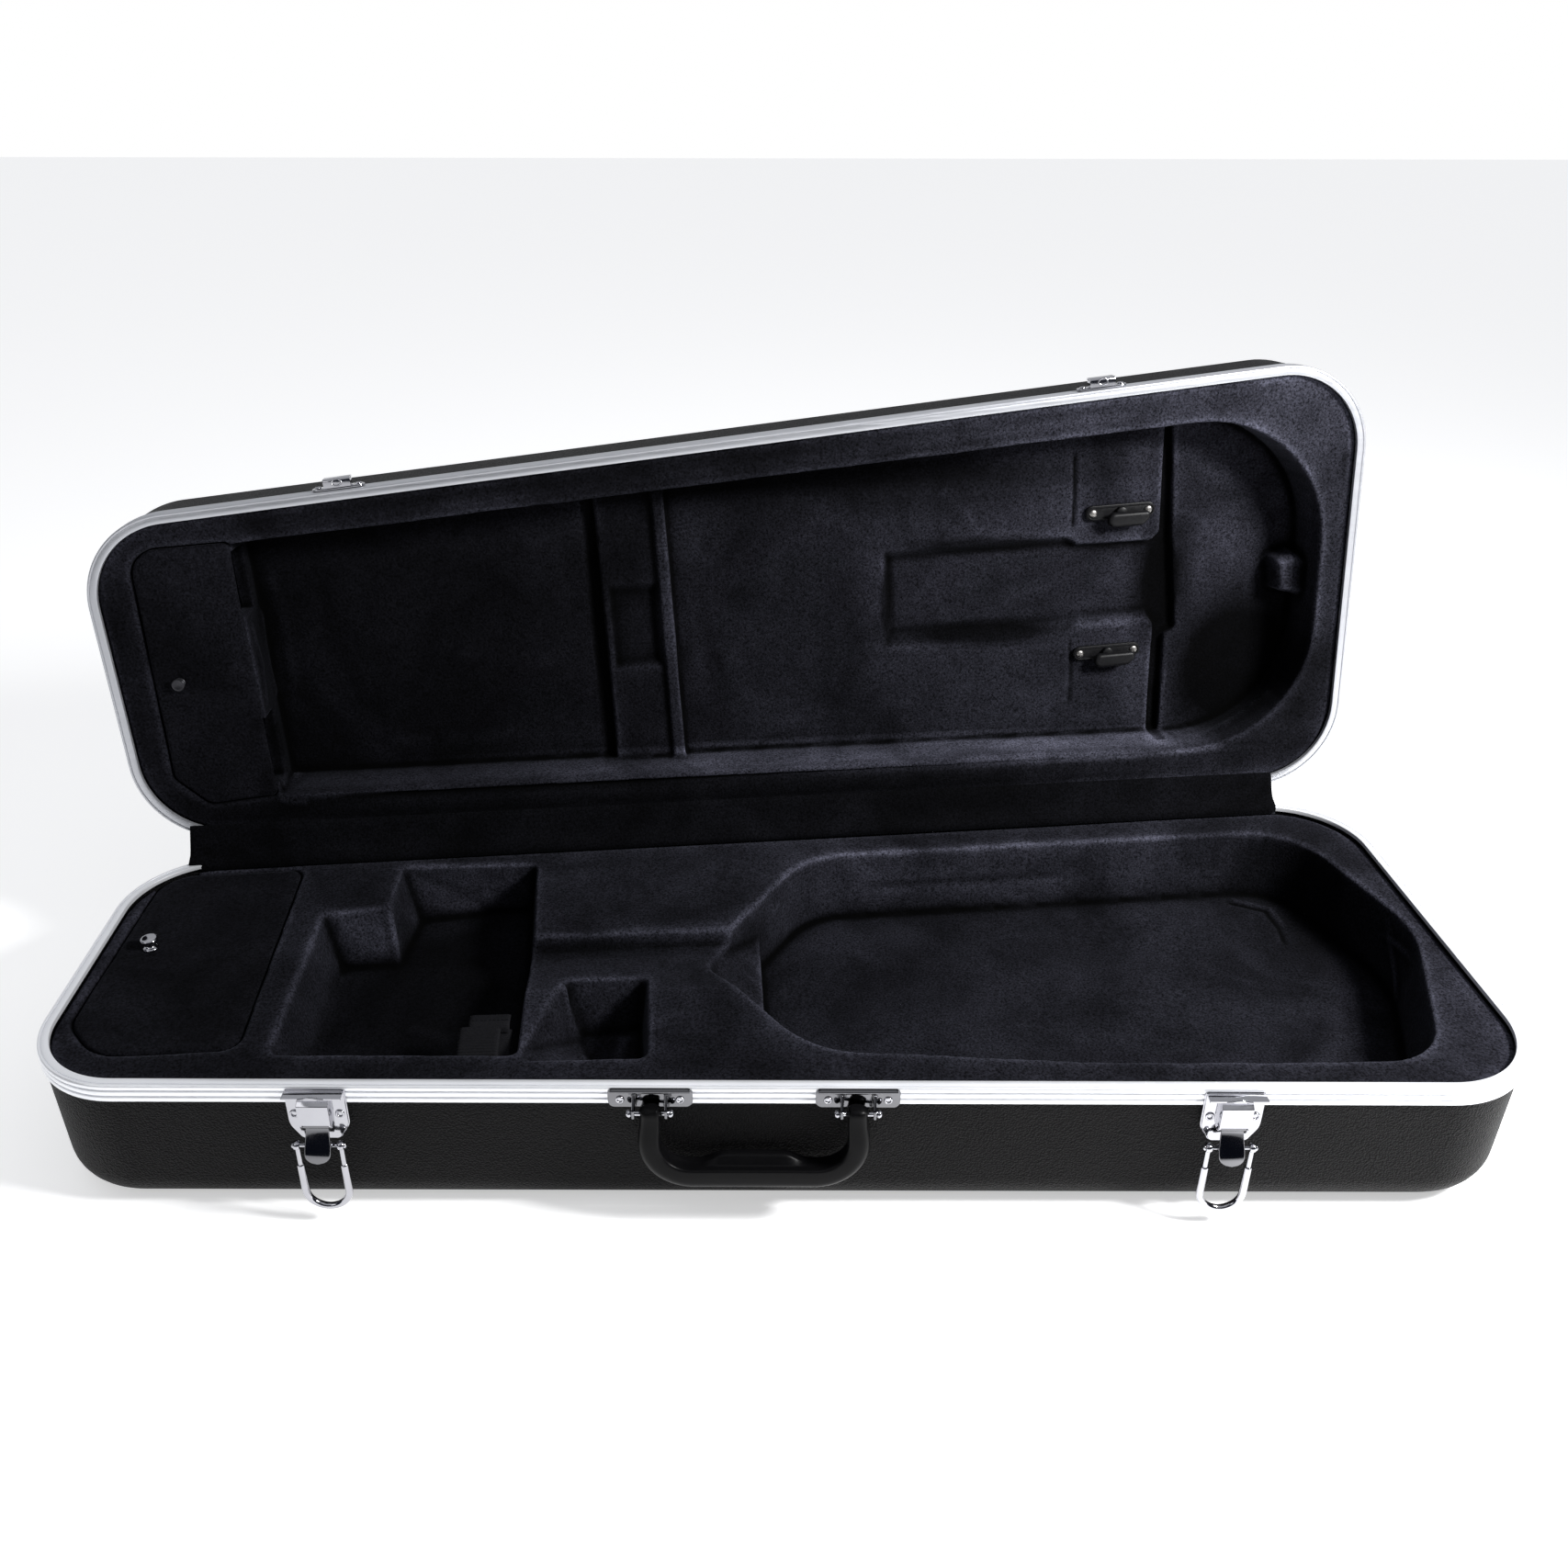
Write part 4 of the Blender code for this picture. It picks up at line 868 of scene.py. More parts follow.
RECESS_OUT = [(91.5, -35.5, 2), (214, -35.6, 1), (223.7, -29, 1), (283, -28.2, 0.5), (283.5, 27.8, 0.5), (226, 28.4, 1), (217.8, 33.1, 1), (90.6, 32.3, 2)]
RECESS_IN = [(95.6, -29.5, 1), (215.5, -29.6, 1), (222, -26.8, 1), (281, -25.8, 0.5), (281.5, 21.0, 0.5), (226, 21.4, 1), (218.3, 22.8, 1), (97.5, 21.3, 1)]
TALL = [(280, -110, 1), (285.6, -110, 1), (287.4, -33, 2), (293, 36, 3), (285.4, 40, 2), (284.6, 112, 1), (276, 111.5, 1), (277.8, 32, 2), (273, 24, 2), (272.4, -26, 2), (279.2, -33, 2)]
TAB = [(354, -11, 3), (366, -14.5, 2), (378, -9, 1), (378, 16, 1), (357, 10.5, 3)]
SLOT_A = [(-330, -77.5, 1), (-300, -77.5, 1), (-300, -38, 1), (-330, -38, 1)]
SLOT_B = [(-330, 30, 1), (-300, 30, 1), (-300, 75, 1), (-330, 75, 1)]


def sunk(name, wide, z_wide, tight, z_tight, above):
    """A cutter that narrows as it goes deeper into the lid."""
    return loft_mesh(name, [(rounded(wide), depth(above)), (rounded(wide), depth(z_wide)), (rounded(tight), depth(z_tight))])


solid = loft_mesh("lid_block", [(rim_outline(1.0, 20), depth(4)), (rim_outline(0.4, 20), depth(45)), (rim_outline(-9.0, 20), depth(55.2))])
lid_lining = carve("lid_lining", solid, [
    ("cut", loft_mesh("d1", [(rounded(inset(SPACE, -1.5), 12), depth(-3)), (rounded(SPACE, 12), depth(4)), (rounded(inset(SPACE, 1.0), 12), depth(33))])),
    ("cut", slab("d2", inset(LEFT, 1.0), depth(20), depth(41), 12)),
    ("cut", slab("d3", inset(RIGHT, 1.0), depth(20.5), depth(41.05), 12)),
    ("cut", slab("d4", PAD, depth(21), depth(36))),
    ("cut", sunk("d5", NOTCH_TOP, 36, NOTCH_LOW, 39.5, 22)),
    ("cut", slab("d6", GROOVE, depth(19), depth(42.2))),
    ("cut", sunk("d7", RECESS_OUT, 41, RECESS_IN, 46.5, 23)),
    ("cut", slab("d8", TALL, depth(24), depth(47))),
    ("add", loft_mesh("d9", [(rounded(inset(TAB, 2.5)), depth(22.5)), (rounded(TAB), depth(26)), (rounded(inset(TAB, -1.5)), depth(43))])),
    ("cut", slab("d10", inset(LID_DOOR, -1.2), depth(-2), depth(9.2))),
    ("cut", slab("d11", inset(LID_DOOR, 7.0), depth(-2.5), depth(46))),
    ("cut", slab("d12", SLOT_A, depth(8), depth(29))),
    ("cut", slab("d13", SLOT_B, depth(8.5), depth(27.5))),
])
lid_lining = soften(lid_lining, 1.5, 3)
undulate(lid_lining, 0.5, 42.0, 2, inner_side(80.0, depth(48.5)))
L = depth(4.0)
B = depth(41.0)
lip_side = lambda mm: (mm[:, 2] < depth(12)).astype(float)
for path, width, height, within in [
    ([(-285, 85.5, L), (-162, 91.4, L), (-101, 94.9, L), (-18, 98.4, L), (18, 100, L), (105, 103.8, L), (168, 106.3, L), (245, 108.6, L), (300, 111.5, L)], 3.4, -4.2, lip_side),
    ([(-300, 93.5, L), (-101, 104.5, L), (18, 110.5, L), (168, 118, L), (300, 124, L)], 5.0, 1.0, lip_side),
    ([(-290, -91.5, L), (-100, -100.5, L), (100, -111.0, L), (280, -120.5, L)], 4.0, 0.7, lip_side),
    ([(220, -92, B), (220.5, -60, B), (219.5, -38, B)], 1.5, -1.1, None),
    ([(219, 36, B), (220.5, 60, B), (220, 86, B)], 1.6, -0.7, None),
    ([(-309, -36, depth(38)), (-306, -14, depth(36)), (-305, 6, depth(37)), (-308, 28, depth(38))], 3.2, 2.0, None),
    ([(-309, -34, depth(16)), (-309, -4, depth(21)), (-309.5, 26, depth(15))], 3.0, 1.2, None),
    ([(-309, 77, depth(12)), (-306, 79, depth(26)), (-304, 79.5, depth(38))], 3.0, 1.6, None),
    ([(-312, 82, depth(5)), (-306, 86, depth(4)), (-292, 88, depth(4))], 2.6, 1.3, None),
    ([(360, 80, depth(20)), (346, 92, depth(24)), (325, 103, depth(24)), (297, 108, depth(24))], 3.5, 1.3, None),
    ([(368, 52, depth(30)), (358, 76, depth(32)), (338, 94, depth(33))], 3.0, -1.0, None),
    ([(130, -75, B), (146, -58, B), (158, -40, B)], 5.0, 0.8, None),
    ([(-250, 62, B), (-210, 70, B), (-150, 66, B)], 6.0, 0.9, None),
    ([(-300, -60, B), (-296, -20, B), (-299, 30, B)], 5.0, 1.2, None),
]:
    crease(lid_lining, path, width, height, 2.0, within)
lid_lining = relief(thinned(lid_lining, 196000))
moved(lid_lining.data, OPEN)


def opened(x, y, z):
    """A closed-lid point in millimetres, where it stands with the lid open."""
    return tuple((OPEN @ (Vector((x, y, depth(z))) * MM)) / MM)


LID_TURN = (-LID_OPEN, 0, TILT)
lid_lining.data.materials.clear()
# Painted light and shade on the lid lining: a strong painted highlight along the hinge-side wall; darker marks in the
# recess slopes, the groove, the tall channel, the lower right lobe and along the borders; lighter and darker fields
# on the floor, partly standing for nap. The ramp across x is a painted falloff of light, dark at the left end and
# bright at the right.
lid_lining.data.materials.append(velvet("lid_velvet_pile", PILE, [
    (opened(338, 66, 41), (78, 84, 60), LID_TURN, 0.05),
    (opened(-97, 0, 41), (9, 120, 14), LID_TURN, 0.35),
    (opened(-308, -57, 20), (16, 34, 24), LID_TURN, 0.2),
    (opened(-308, 52, 20), (16, 36, 24), LID_TURN, 0.2),
    (opened(190, -4, 45), (120, 34, 12), LID_TURN, 0.72),
    (opened(-210, 0, 41), (150, 130, 60), LID_TURN, 0.55),
    (opened(20, 97, 24), (420, 9, 34), LID_TURN, 5.0),
    (opened(283, 3, 46), (26, 66, 20), LID_TURN, 0.05),
    (opened(160, 28, 43), (80, 11.5, 20), LID_TURN, 0.12),
    (opened(160, -33.5, 43), (80, 8, 20), LID_TURN, 0.15),
    (opened(93.4, -1, 43), (7, 40, 20), LID_TURN, 0.15),
    (opened(-75, 0, 38), (24, 110, 20), LID_TURN, 0.7),
    (opened(0, -92, 38), (340, 16, 22), LID_TURN, 0.35),
    (opened(200, 112, 4), (480, 22, 14), LID_TURN, 0.45),
    (opened(-120, 103, 4), (420, 26, 16), LID_TURN, 0.3),
    (opened(120, -75, 41), (150, 20, 30), LID_TURN, 0.6),
    (opened(60, 30, 41), (22, 90, 30), LID_TURN, 0.6),
    (opened(383, 30, 4), (34, 190, 18), LID_TURN, 0.5),
    (opened(0, -105, 4), (420, 22, 14), LID_TURN, 0.6),
], WEAR_HIGHLIGHT_AND_HOLLOW_SHADE, [(0.0, 0.42), (0.3, 0.46), (0.6, 0.85), (0.85, 1.35), (1.0, 1.25)]))
smooth(lid_lining)
shown(lid_lining, "lid", ["lid_insert"])

# ---------------------------------------------------------------- gusset between the halves
GUSSET = [(-2.2, -4.2), (-2.3, -1.4), (-1.6, 1.0), (1.0, 2.4), (3.6, 3.6), (5.9, 5.8), (7.8, 8.8), (9.6, 12.3), (11.6, 15.8), (14.0, 19.3)]
GUSSET_ENDS = (-367.0, 350.0)
rings = []
stations = 240
for i in range(stations + 1):
    s = GUSSET_ENDS[0] + (GUSSET_ENDS[1] - GUSSET_ENDS[0]) * i / stations
    upper, lower = [], []
    for k, (t, z) in enumerate(GUSSET):
        a, b = Vector(GUSSET[max(k - 1, 0)]), Vector(GUSSET[min(k + 1, len(GUSSET) - 1)])
        n = Vector((-(b - a).y, (b - a).x)).normalized()
        slack = math.sin(PI * k / (len(GUSSET) - 1))
        sway = slack * (0.9 * noise.noise(Vector((s / 34, k / 3.0, 2.0))) + 0.35 * noise.noise(Vector((s / 9, k / 2.0, 7.0))))
        p = Vector((t, z)) + n * sway
        edge = 0.5 * (0.55 if i in (0, stations) else 1.0)
        upper.append(p + n * edge)
        lower.append(p - n * edge)
    rings.append([rear(390.0 + s, q.x, q.y) * MM for q in upper + lower[::-1]])
# The gusset's pile is a fifth of the lining tone: painted shade where it lies in the join between the halves.
gusset = smooth(link("hinge_gusset_velvet", rings_mesh("hinge_gusset_velvet", rings), velvet("gusset_velvet_painted_shade", tuple(0.20 * c for c in PILE))))
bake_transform(gusset)
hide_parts("hinge_gusset")


# ---------------------------------------------------------------- neck strap
def eased(path, step):
    """Points every step along a smooth curve through the path."""
    pts = [Vector(p) for p in path]
    fine = []
    for i in range(len(pts) - 1):
        p0, p1, p2, p3 = pts[max(i - 1, 0)], pts[i], pts[i + 1], pts[min(i + 2, len(pts) - 1)]
        for k in range(24):
            t = k / 24
            fine.append(0.5 * (2 * p1 + (p2 - p0) * t + (2 * p0 - 5 * p1 + 4 * p2 - p3) * t ** 2 + (3 * p1 - p0 - 3 * p2 + p3) * t ** 3))
    fine.append(pts[-1])
    out, left = [fine[0]], step
    for a, b in zip(fine[:-1], fine[1:]):
        d = (b - a).length
        while d >= left and d > 1e-9:
            a = a + (b - a) * (left / d)
            d = (b - a).length
            out.append(a)
            left = step
        left -= d
    return out


def webbing(name, x0, x1, path, thick, pitch, rib):
    """A woven strap between x0 and x1 along a path of (y, z), with cross ribs raised on both faces."""
    pts = eased(path, pitch / 5)
    rings = []
    width = 16
    for i, p in enumerate(pts):
        a, b = pts[max(i - 1, 0)], pts[min(i + 1, len(pts) - 1)]
        d = (b - a).normalized()
        n = Vector((-d.y, d.x))
        high = thick / 2 + rib * (0.5 + 0.5 * math.cos(2 * PI * i / 5))
        top = []
        for k in range(width + 1):
            x = x0 + (x1 - x0) * k / width
            edge = 0.45 if k in (0, width) else 1.0
            top.append((x, high * edge))
        ring = [(x, p + n * h) for x, h in top] + [(x, p - n * h) for x, h in reversed(top)]
        rings.append([Vector((x, q.x, PART_Z + q.y)) * MM for x, q in ring])
    return rings_mesh(name, rings)


strap = smooth(link("neck_strap_webbing", webbing("neck_strap_webbing", -175.0, -153.0, [(-85, -31), (-84.0, -18), (-78, -11.4), (-68.5, -8.6), (-61, -7.4)], 1.3, 1.7, 0.7), WEBBING))
shown(strap, "base", ["neck_strap"])
hem = [webbing("hem", -168.0, -147.5, [(-84, -34), (-82.2, -21.6), (-75, -14.6), (-66, -11.5), (-60, -10.4)], 1.2, 1.2, 0.2)]
hem.append(webbing("fold", -170.5, -148.5, [(-62.5, -9.6), (-61.4, -7.0), (-58.0, -5.6), (-53.0, -6.0)], 1.5, 0.9, 0.08))
for k in range(9):
    x = -168.6 + 2.25 * k
    hem.append(tinted(wire("stitch", [(x, -58.3, PART_Z - 4.7), (x + 0.7, -58.2, PART_Z - 4.5), (x + 1.5, -58.1, PART_Z - 4.7)], [0.22, 0.26, 0.22], 8), 1))
backing = smooth(link("neck_strap_hem", joined("neck_strap_hem", hem), WEBBING, THREAD))
shown(backing, "base", ["neck_strap_backing"])


# ---------------------------------------------------------------- knobs
def spool(r, h):
    """A turned pull knob: dished cap, waist and foot."""
    p = [(0.0, h * 0.90), (r * 0.45, h * 0.92), (r * 0.72, h * 0.99), (r * 0.86, h), (r * 0.96, h * 0.96), (r, h * 0.88), (r * 0.98, h * 0.78),
         (r * 0.86, h * 0.70), (r * 0.62, h * 0.62), (r * 0.5, h * 0.52), (r * 0.47, h * 0.40), (r * 0.52, h * 0.30), (r * 0.68, h * 0.22),
         (r * 0.86, h * 0.17), (r * 0.90, h * 0.10), (r * 0.88, 0.0)]
    return lathe("spool", p, 40)


knob = smooth(link("accessory_knob_turned", moved(spool(4.9, 7.6), shift(-364.0, 16.5, VELVET_Z - 0.3)), CHROME))
shown(knob, "box_door", ["accessory_door_knob"])
lid_knob = smooth(link("lid_knob_turned", moved(spool(4.0, 4.2), OPEN @ shift(-355.0, 0.2, LID_VELVET + 0.3) @ Matrix.Rotation(PI, 4, "X")), SATIN))
shown(lid_knob, "lid_door", ["lid_box_knob"])


# ---------------------------------------------------------------- fasteners
def eyelet(name, matrix, body, cad, r=2.2):
    """A tubular rivet: rolled rim and sunk core."""
    rim = lathe("rim", [(r, 0.0), (r * 1.02, 0.35), (r * 0.96, 0.75), (r * 0.82, 0.95), (r * 0.66, 0.9), (r * 0.56, 0.6), (r * 0.52, 0.2), (r * 0.5, 0.0)], 28)
    core = tinted(lathe("core", [(0.0, 0.42), (r * 0.3, 0.40), (r * 0.54, 0.26), (r * 0.56, 0.0)], 20), 1)
    obj = sharp(link(name, moved(joined(name, [rim, core]), matrix), CHROME, BRASS), 50)
    return shown(obj, body, [cad])


PLATE_IN = 6.15
PLATE = 1.2
HANDLE_AT, SPAN = 372.0, 105.0
AXIS_OUT, AXIS_DROP = 11.5, -12.0
ACROSS = Matrix(((0, 0, 1, 0), (0, 1, 0, 0), (1, 0, 0, 0), (0, 0, 0, 1)))       # drawn in (depth, height), laid across local x
for side, sign in (("left", -1), ("right", 1)):
    along = HANDLE_AT + sign * SPAN / 2
    at = wall_frame(along, PLATE_IN)
    outline = [(-21, -11.6, 3), (-7.2, -11.6, 0.6), (-7.2, -3.2, 0.6), (7.2, -3.2, 0.6), (7.2, -11.6, 0.6), (21, -11.6, 3), (21, -0.6, 2.4), (-21, -0.6, 2.4)]
    # The thin dark plate just larger than the bracket is a painted contact shadow round its edge.
    parts = [plate("plate", outline, 0.0, PLATE, 0.35), tinted(plate("painted_shadow_line", inset([outline[0], outline[5], outline[6], outline[7]], -0.45), -0.15, 0.2, 0.05), 1)]
    parts.append(wire("fold", [(-20.0, -1.5, 1.25), (0.0, -1.5, 1.3), (20.0, -1.5, 1.25)], [0.85] * 3, 12))
    for x in (-9.0, 7.6):
        deep = AXIS_OUT - PLATE_IN
        ear = [(0.6, -1.8, 0.5), (2.6, -2.6, 1.2), (deep + 2.6, -8.6, 2.4), (deep + 3.0, -14.6, 2.8), (deep - 2.6, -15.4, 2.6), (0.6, -11.4, 0.5)]
        parts.append(moved(plate("ear", ear, x, x + 1.4, 0.3), ACROSS))
    # The dark block in the window between the ears is painted shade.
    parts.append(tinted(block("painted_shadow_gap", (-7.1, -11.8, 0.05), (7.1, -3.1, 0.5), 0.05), 1))
    bracket = sharp(link(f"handle_bracket_pressing_{side}", moved(joined("bracket", parts), at), SHADED, PAINTED_SHADE_BLACK), 40)
    shown(bracket, "base", [f"handle_bracket_{side}"])
    for end, x in (("outer", sign * 15.2), ("inner", -sign * 15.2)):
        eyelet(f"handle_eyelet_{side}_{end}", at @ shift(x, -6.6, PLATE - 0.1), "base", f"handle_rivet_{side}_{end}")
    ball = [(0.0, 12.3), (0.9, 12.1), (1.7, 11.5), (2.1, 10.6), (1.9, 9.7), (1.3, 9.1)]
    pin = lathe("pin", ball + [(r, -z) for r, z in reversed(ball)], 20)
    pin = smooth(link(f"handle_pin_turned_{side}", moved(pin, front_frame(along, AXIS_OUT, AXIS_DROP) @ Matrix.Rotation(PI / 2, 4, "Y")), CHROME))
    shown(pin, "base", [f"handle_pin_{side}"])


# ---------------------------------------------------------------- handle grip
def grip_mesh():
    """Legs that widen into a bar with a crisp front edge and a finger swell on its inner side."""
    half, drop, corner = SPAN / 2, 38.5, 21.0
    path = [(-half, 0.0, 2.4, 0.0), (-half, 0.0, 0.0, 0.0), (-half, 0.0, -3.0, 0.04), (-half - 0.1, -0.2, -7.0, 0.12), (-half - 0.5, -0.5, -12.5, 0.3), (-half - 0.6, -0.6, -17.0, 0.45)]
    for k in range(1, 13):
        a = PI + (PI / 2) * k / 12
        path.append((-half + corner - 0.6 + corner * math.cos(a), -0.6, -drop + corner + corner * math.sin(a), 0.45 + 0.55 * k / 12))
    for k in range(1, 15):
        path.append((path[17][0] * (1 - k / 15), -0.6, -drop, 1.0))
    path += [(-x, y, z, t) for x, y, z, t in reversed(path) if x < -1e-6]
    pts = [Vector(p[:3]) for p in path]
    rings = []
    for i, p in enumerate(pts):
        t = path[i][3]
        d = (pts[min(i + 1, len(pts) - 1)] - pts[max(i - 1, 0)]).normalized()
        inner = Vector((0, 1, 0)).cross(d)
        inner.normalize()                                   # towards the middle of the loop
        if inner.dot(Vector((0, 0, -drop + corner)) - p) < 0:
            inner = -inner
        up, down = 5.0 + 1.7 * t, 5.0 + 2.4 * t             # inner and outer half heights
        fr, bk = 4.5 + 2.7 * t, 4.3 + 2.3 * t               # front and back half depths
        swell = 0.0
        if t > 0.99:
            w = min(max((29.0 - abs(p.x)) / 14.0, 0.0), 1.0)
            swell = 5.6 * w * w * (3 - 2 * w)
        shape = [(-fr, -down, 4.4 + 1.6 * t), (bk, -down, 4.0 + 1.2 * t), (bk + 0.001, up * 0.35, 2.0), (bk - 1.0, up - 1.2 * t + swell, 1.8 + 0.8 * t),
                 (0.6, up - 1.4 * t + swell * 0.96, 2.4), (-2.6, up - 0.9 * t + swell * 0.06, 1.4), (-fr + 0.3, up, 3.4 - 2.2 * t)]
        ring = rounded(shape, 5)
        rings.append([(p + Vector((0, q.x, 0)) + inner * q.y) * MM for q in ring])
    first, last = rings[0], rings[-1]
    for ring, where in ((first, 0), (last, len(rings))):
        mid = sum(ring, Vector()) / len(ring)
        cap = [mid + (v - mid) * 0.7 + Vector((0, 0, 0.0016)) for v in ring]
        rings.insert(where if where == 0 else len(rings), cap)
    return rings_mesh("grip", rings)


grip = sharp(link("handle_grip_moulding", moved(grip_mesh(), front_frame(HANDLE_AT, AXIS_OUT, AXIS_DROP)), GRIP), 48)
shown(grip, "handle", ["handle_grip"])

# ---------------------------------------------------------------- latches and catches
LATCHES = {"left": 150.6, "right": 615.3}
LEVER_OUT, LEVER_DROP = 10.4, -21.0
BAIL_OUT, BAIL_DROP = 12.4, -33.0


def lever_mesh():
    """A pressed thumb tab curling out from its pin to a round end, with its two pin barrels."""
    path = eased([(0.2, 0.6), (-0.4, -3.2), (-3.2, -10.0), (-5.6, -14.8), (-7.6, -19.6)], 0.6)
    total = len(path) - 1
    rings = []
    for i, p in enumerate(path):
        a, b = path[max(i - 1, 0)], path[min(i + 1, total)]
        d = (b - a).normalized()
        n = Vector((-d.y, d.x))
        left = (total - i) * 0.6
        w = 5.5 + 1.1 * min(i / (0.6 * total), 1.0)
        if left < 5.4:
            w *= math.sqrt(max(1.0 - ((5.4 - left) / 5.4) ** 2.3, 0.006))
        ring = rounded([(-w, -0.65, 0.5), (w, -0.65, 0.5), (w, 0.65, 0.5), (-w, 0.65, 0.5)], 3)
        rings.append([Vector((q.x, p.x + n.x * q.y, p.y + n.y * q.y)) * MM for q in ring])
    parts = [rings_mesh("tab", rings)]
    for y, z, r, reach in ((0.0, 0.0, 2.0, 6.3), (LEVER_OUT - BAIL_OUT, BAIL_DROP - LEVER_DROP, 1.9, 5.9)):
        parts.append(wire("barrel", [(-reach, y, z), (0, y, z), (reach, y, z)], [r] * 3, 20))
    return joined("lever", parts)


def bail_mesh():
    """A wire loop: thin where it leaves its pin, sleeved in its lower half."""
    reach, length = 11.2, 42.0
    path = [(-reach, 0, 0.8), (-reach, 0, 0.0), (-reach, 0, -6.0), (-reach, 0, -12.6), (-reach, 0, -12.9), (-reach, 0, -13.5), (-reach, 0, -22.0), (-reach, 0, -length + reach)]
    radii = [1.3, 1.3, 1.3, 1.3, 1.75, 1.95, 1.95, 1.95]
    for k in range(1, 13):
        a = PI + (PI / 2) * k / 12
        path.append((reach * math.cos(a), 0, -length + reach + reach * math.sin(a)))
        radii.append(1.95 - 0.15 * k / 12)
    path += [(-x, y, z) for x, y, z in reversed(path[:-1])]
    radii += list(reversed(radii[:-1]))
    parts = [wire("loop", path, radii, 18)]
    for sign in (-1, 1):
        eye = lathe("eye", [(1.2, -1.6), (2.0, -1.5), (2.35, -1.0), (2.45, 0.0), (2.35, 1.0), (2.0, 1.5), (1.2, 1.6)], 24)
        parts.append(moved(eye, shift(sign * reach, 0, 0) @ Matrix.Rotation(PI / 2, 4, "Y")))
    return joined("bail", parts)


def housing_parts():
    """The latch's bent cover: sloping top, flat face, cheeks, open below."""
    parts = []
    cover = [(0.7, -3.4, 0.3), (2.4, -3.4, 0.6), (7.0, -7.2, 0.9), (7.0, -19.7, 0.4), (5.9, -19.7, 0.3), (5.9, -7.8, 0.5), (2.0, -4.6, 0.4), (0.7, -4.6, 0.3)]
    parts.append(moved(plate("cover", cover, -8.0, 8.0, 0.28), ACROSS))
    cheek = [(0.7, -3.8, 0.4), (2.3, -3.8, 0.5), (6.6, -7.4, 0.6), (6.6, -20.6, 0.6), (4.6, -23.2, 1.2), (0.7, -23.2, 0.6)]
    for x in (-7.9, 6.8):
        parts.append(moved(plate("cheek", cheek, x, x + 1.1, 0.25), ACROSS))
    # The dark block inside the cover is painted shade for its open inside.
    parts.append(tinted(block("painted_shade_hollow", (-6.7, -22.6, 1.1), (6.7, -6.0, 2.0), 0.1), 1))
    return parts


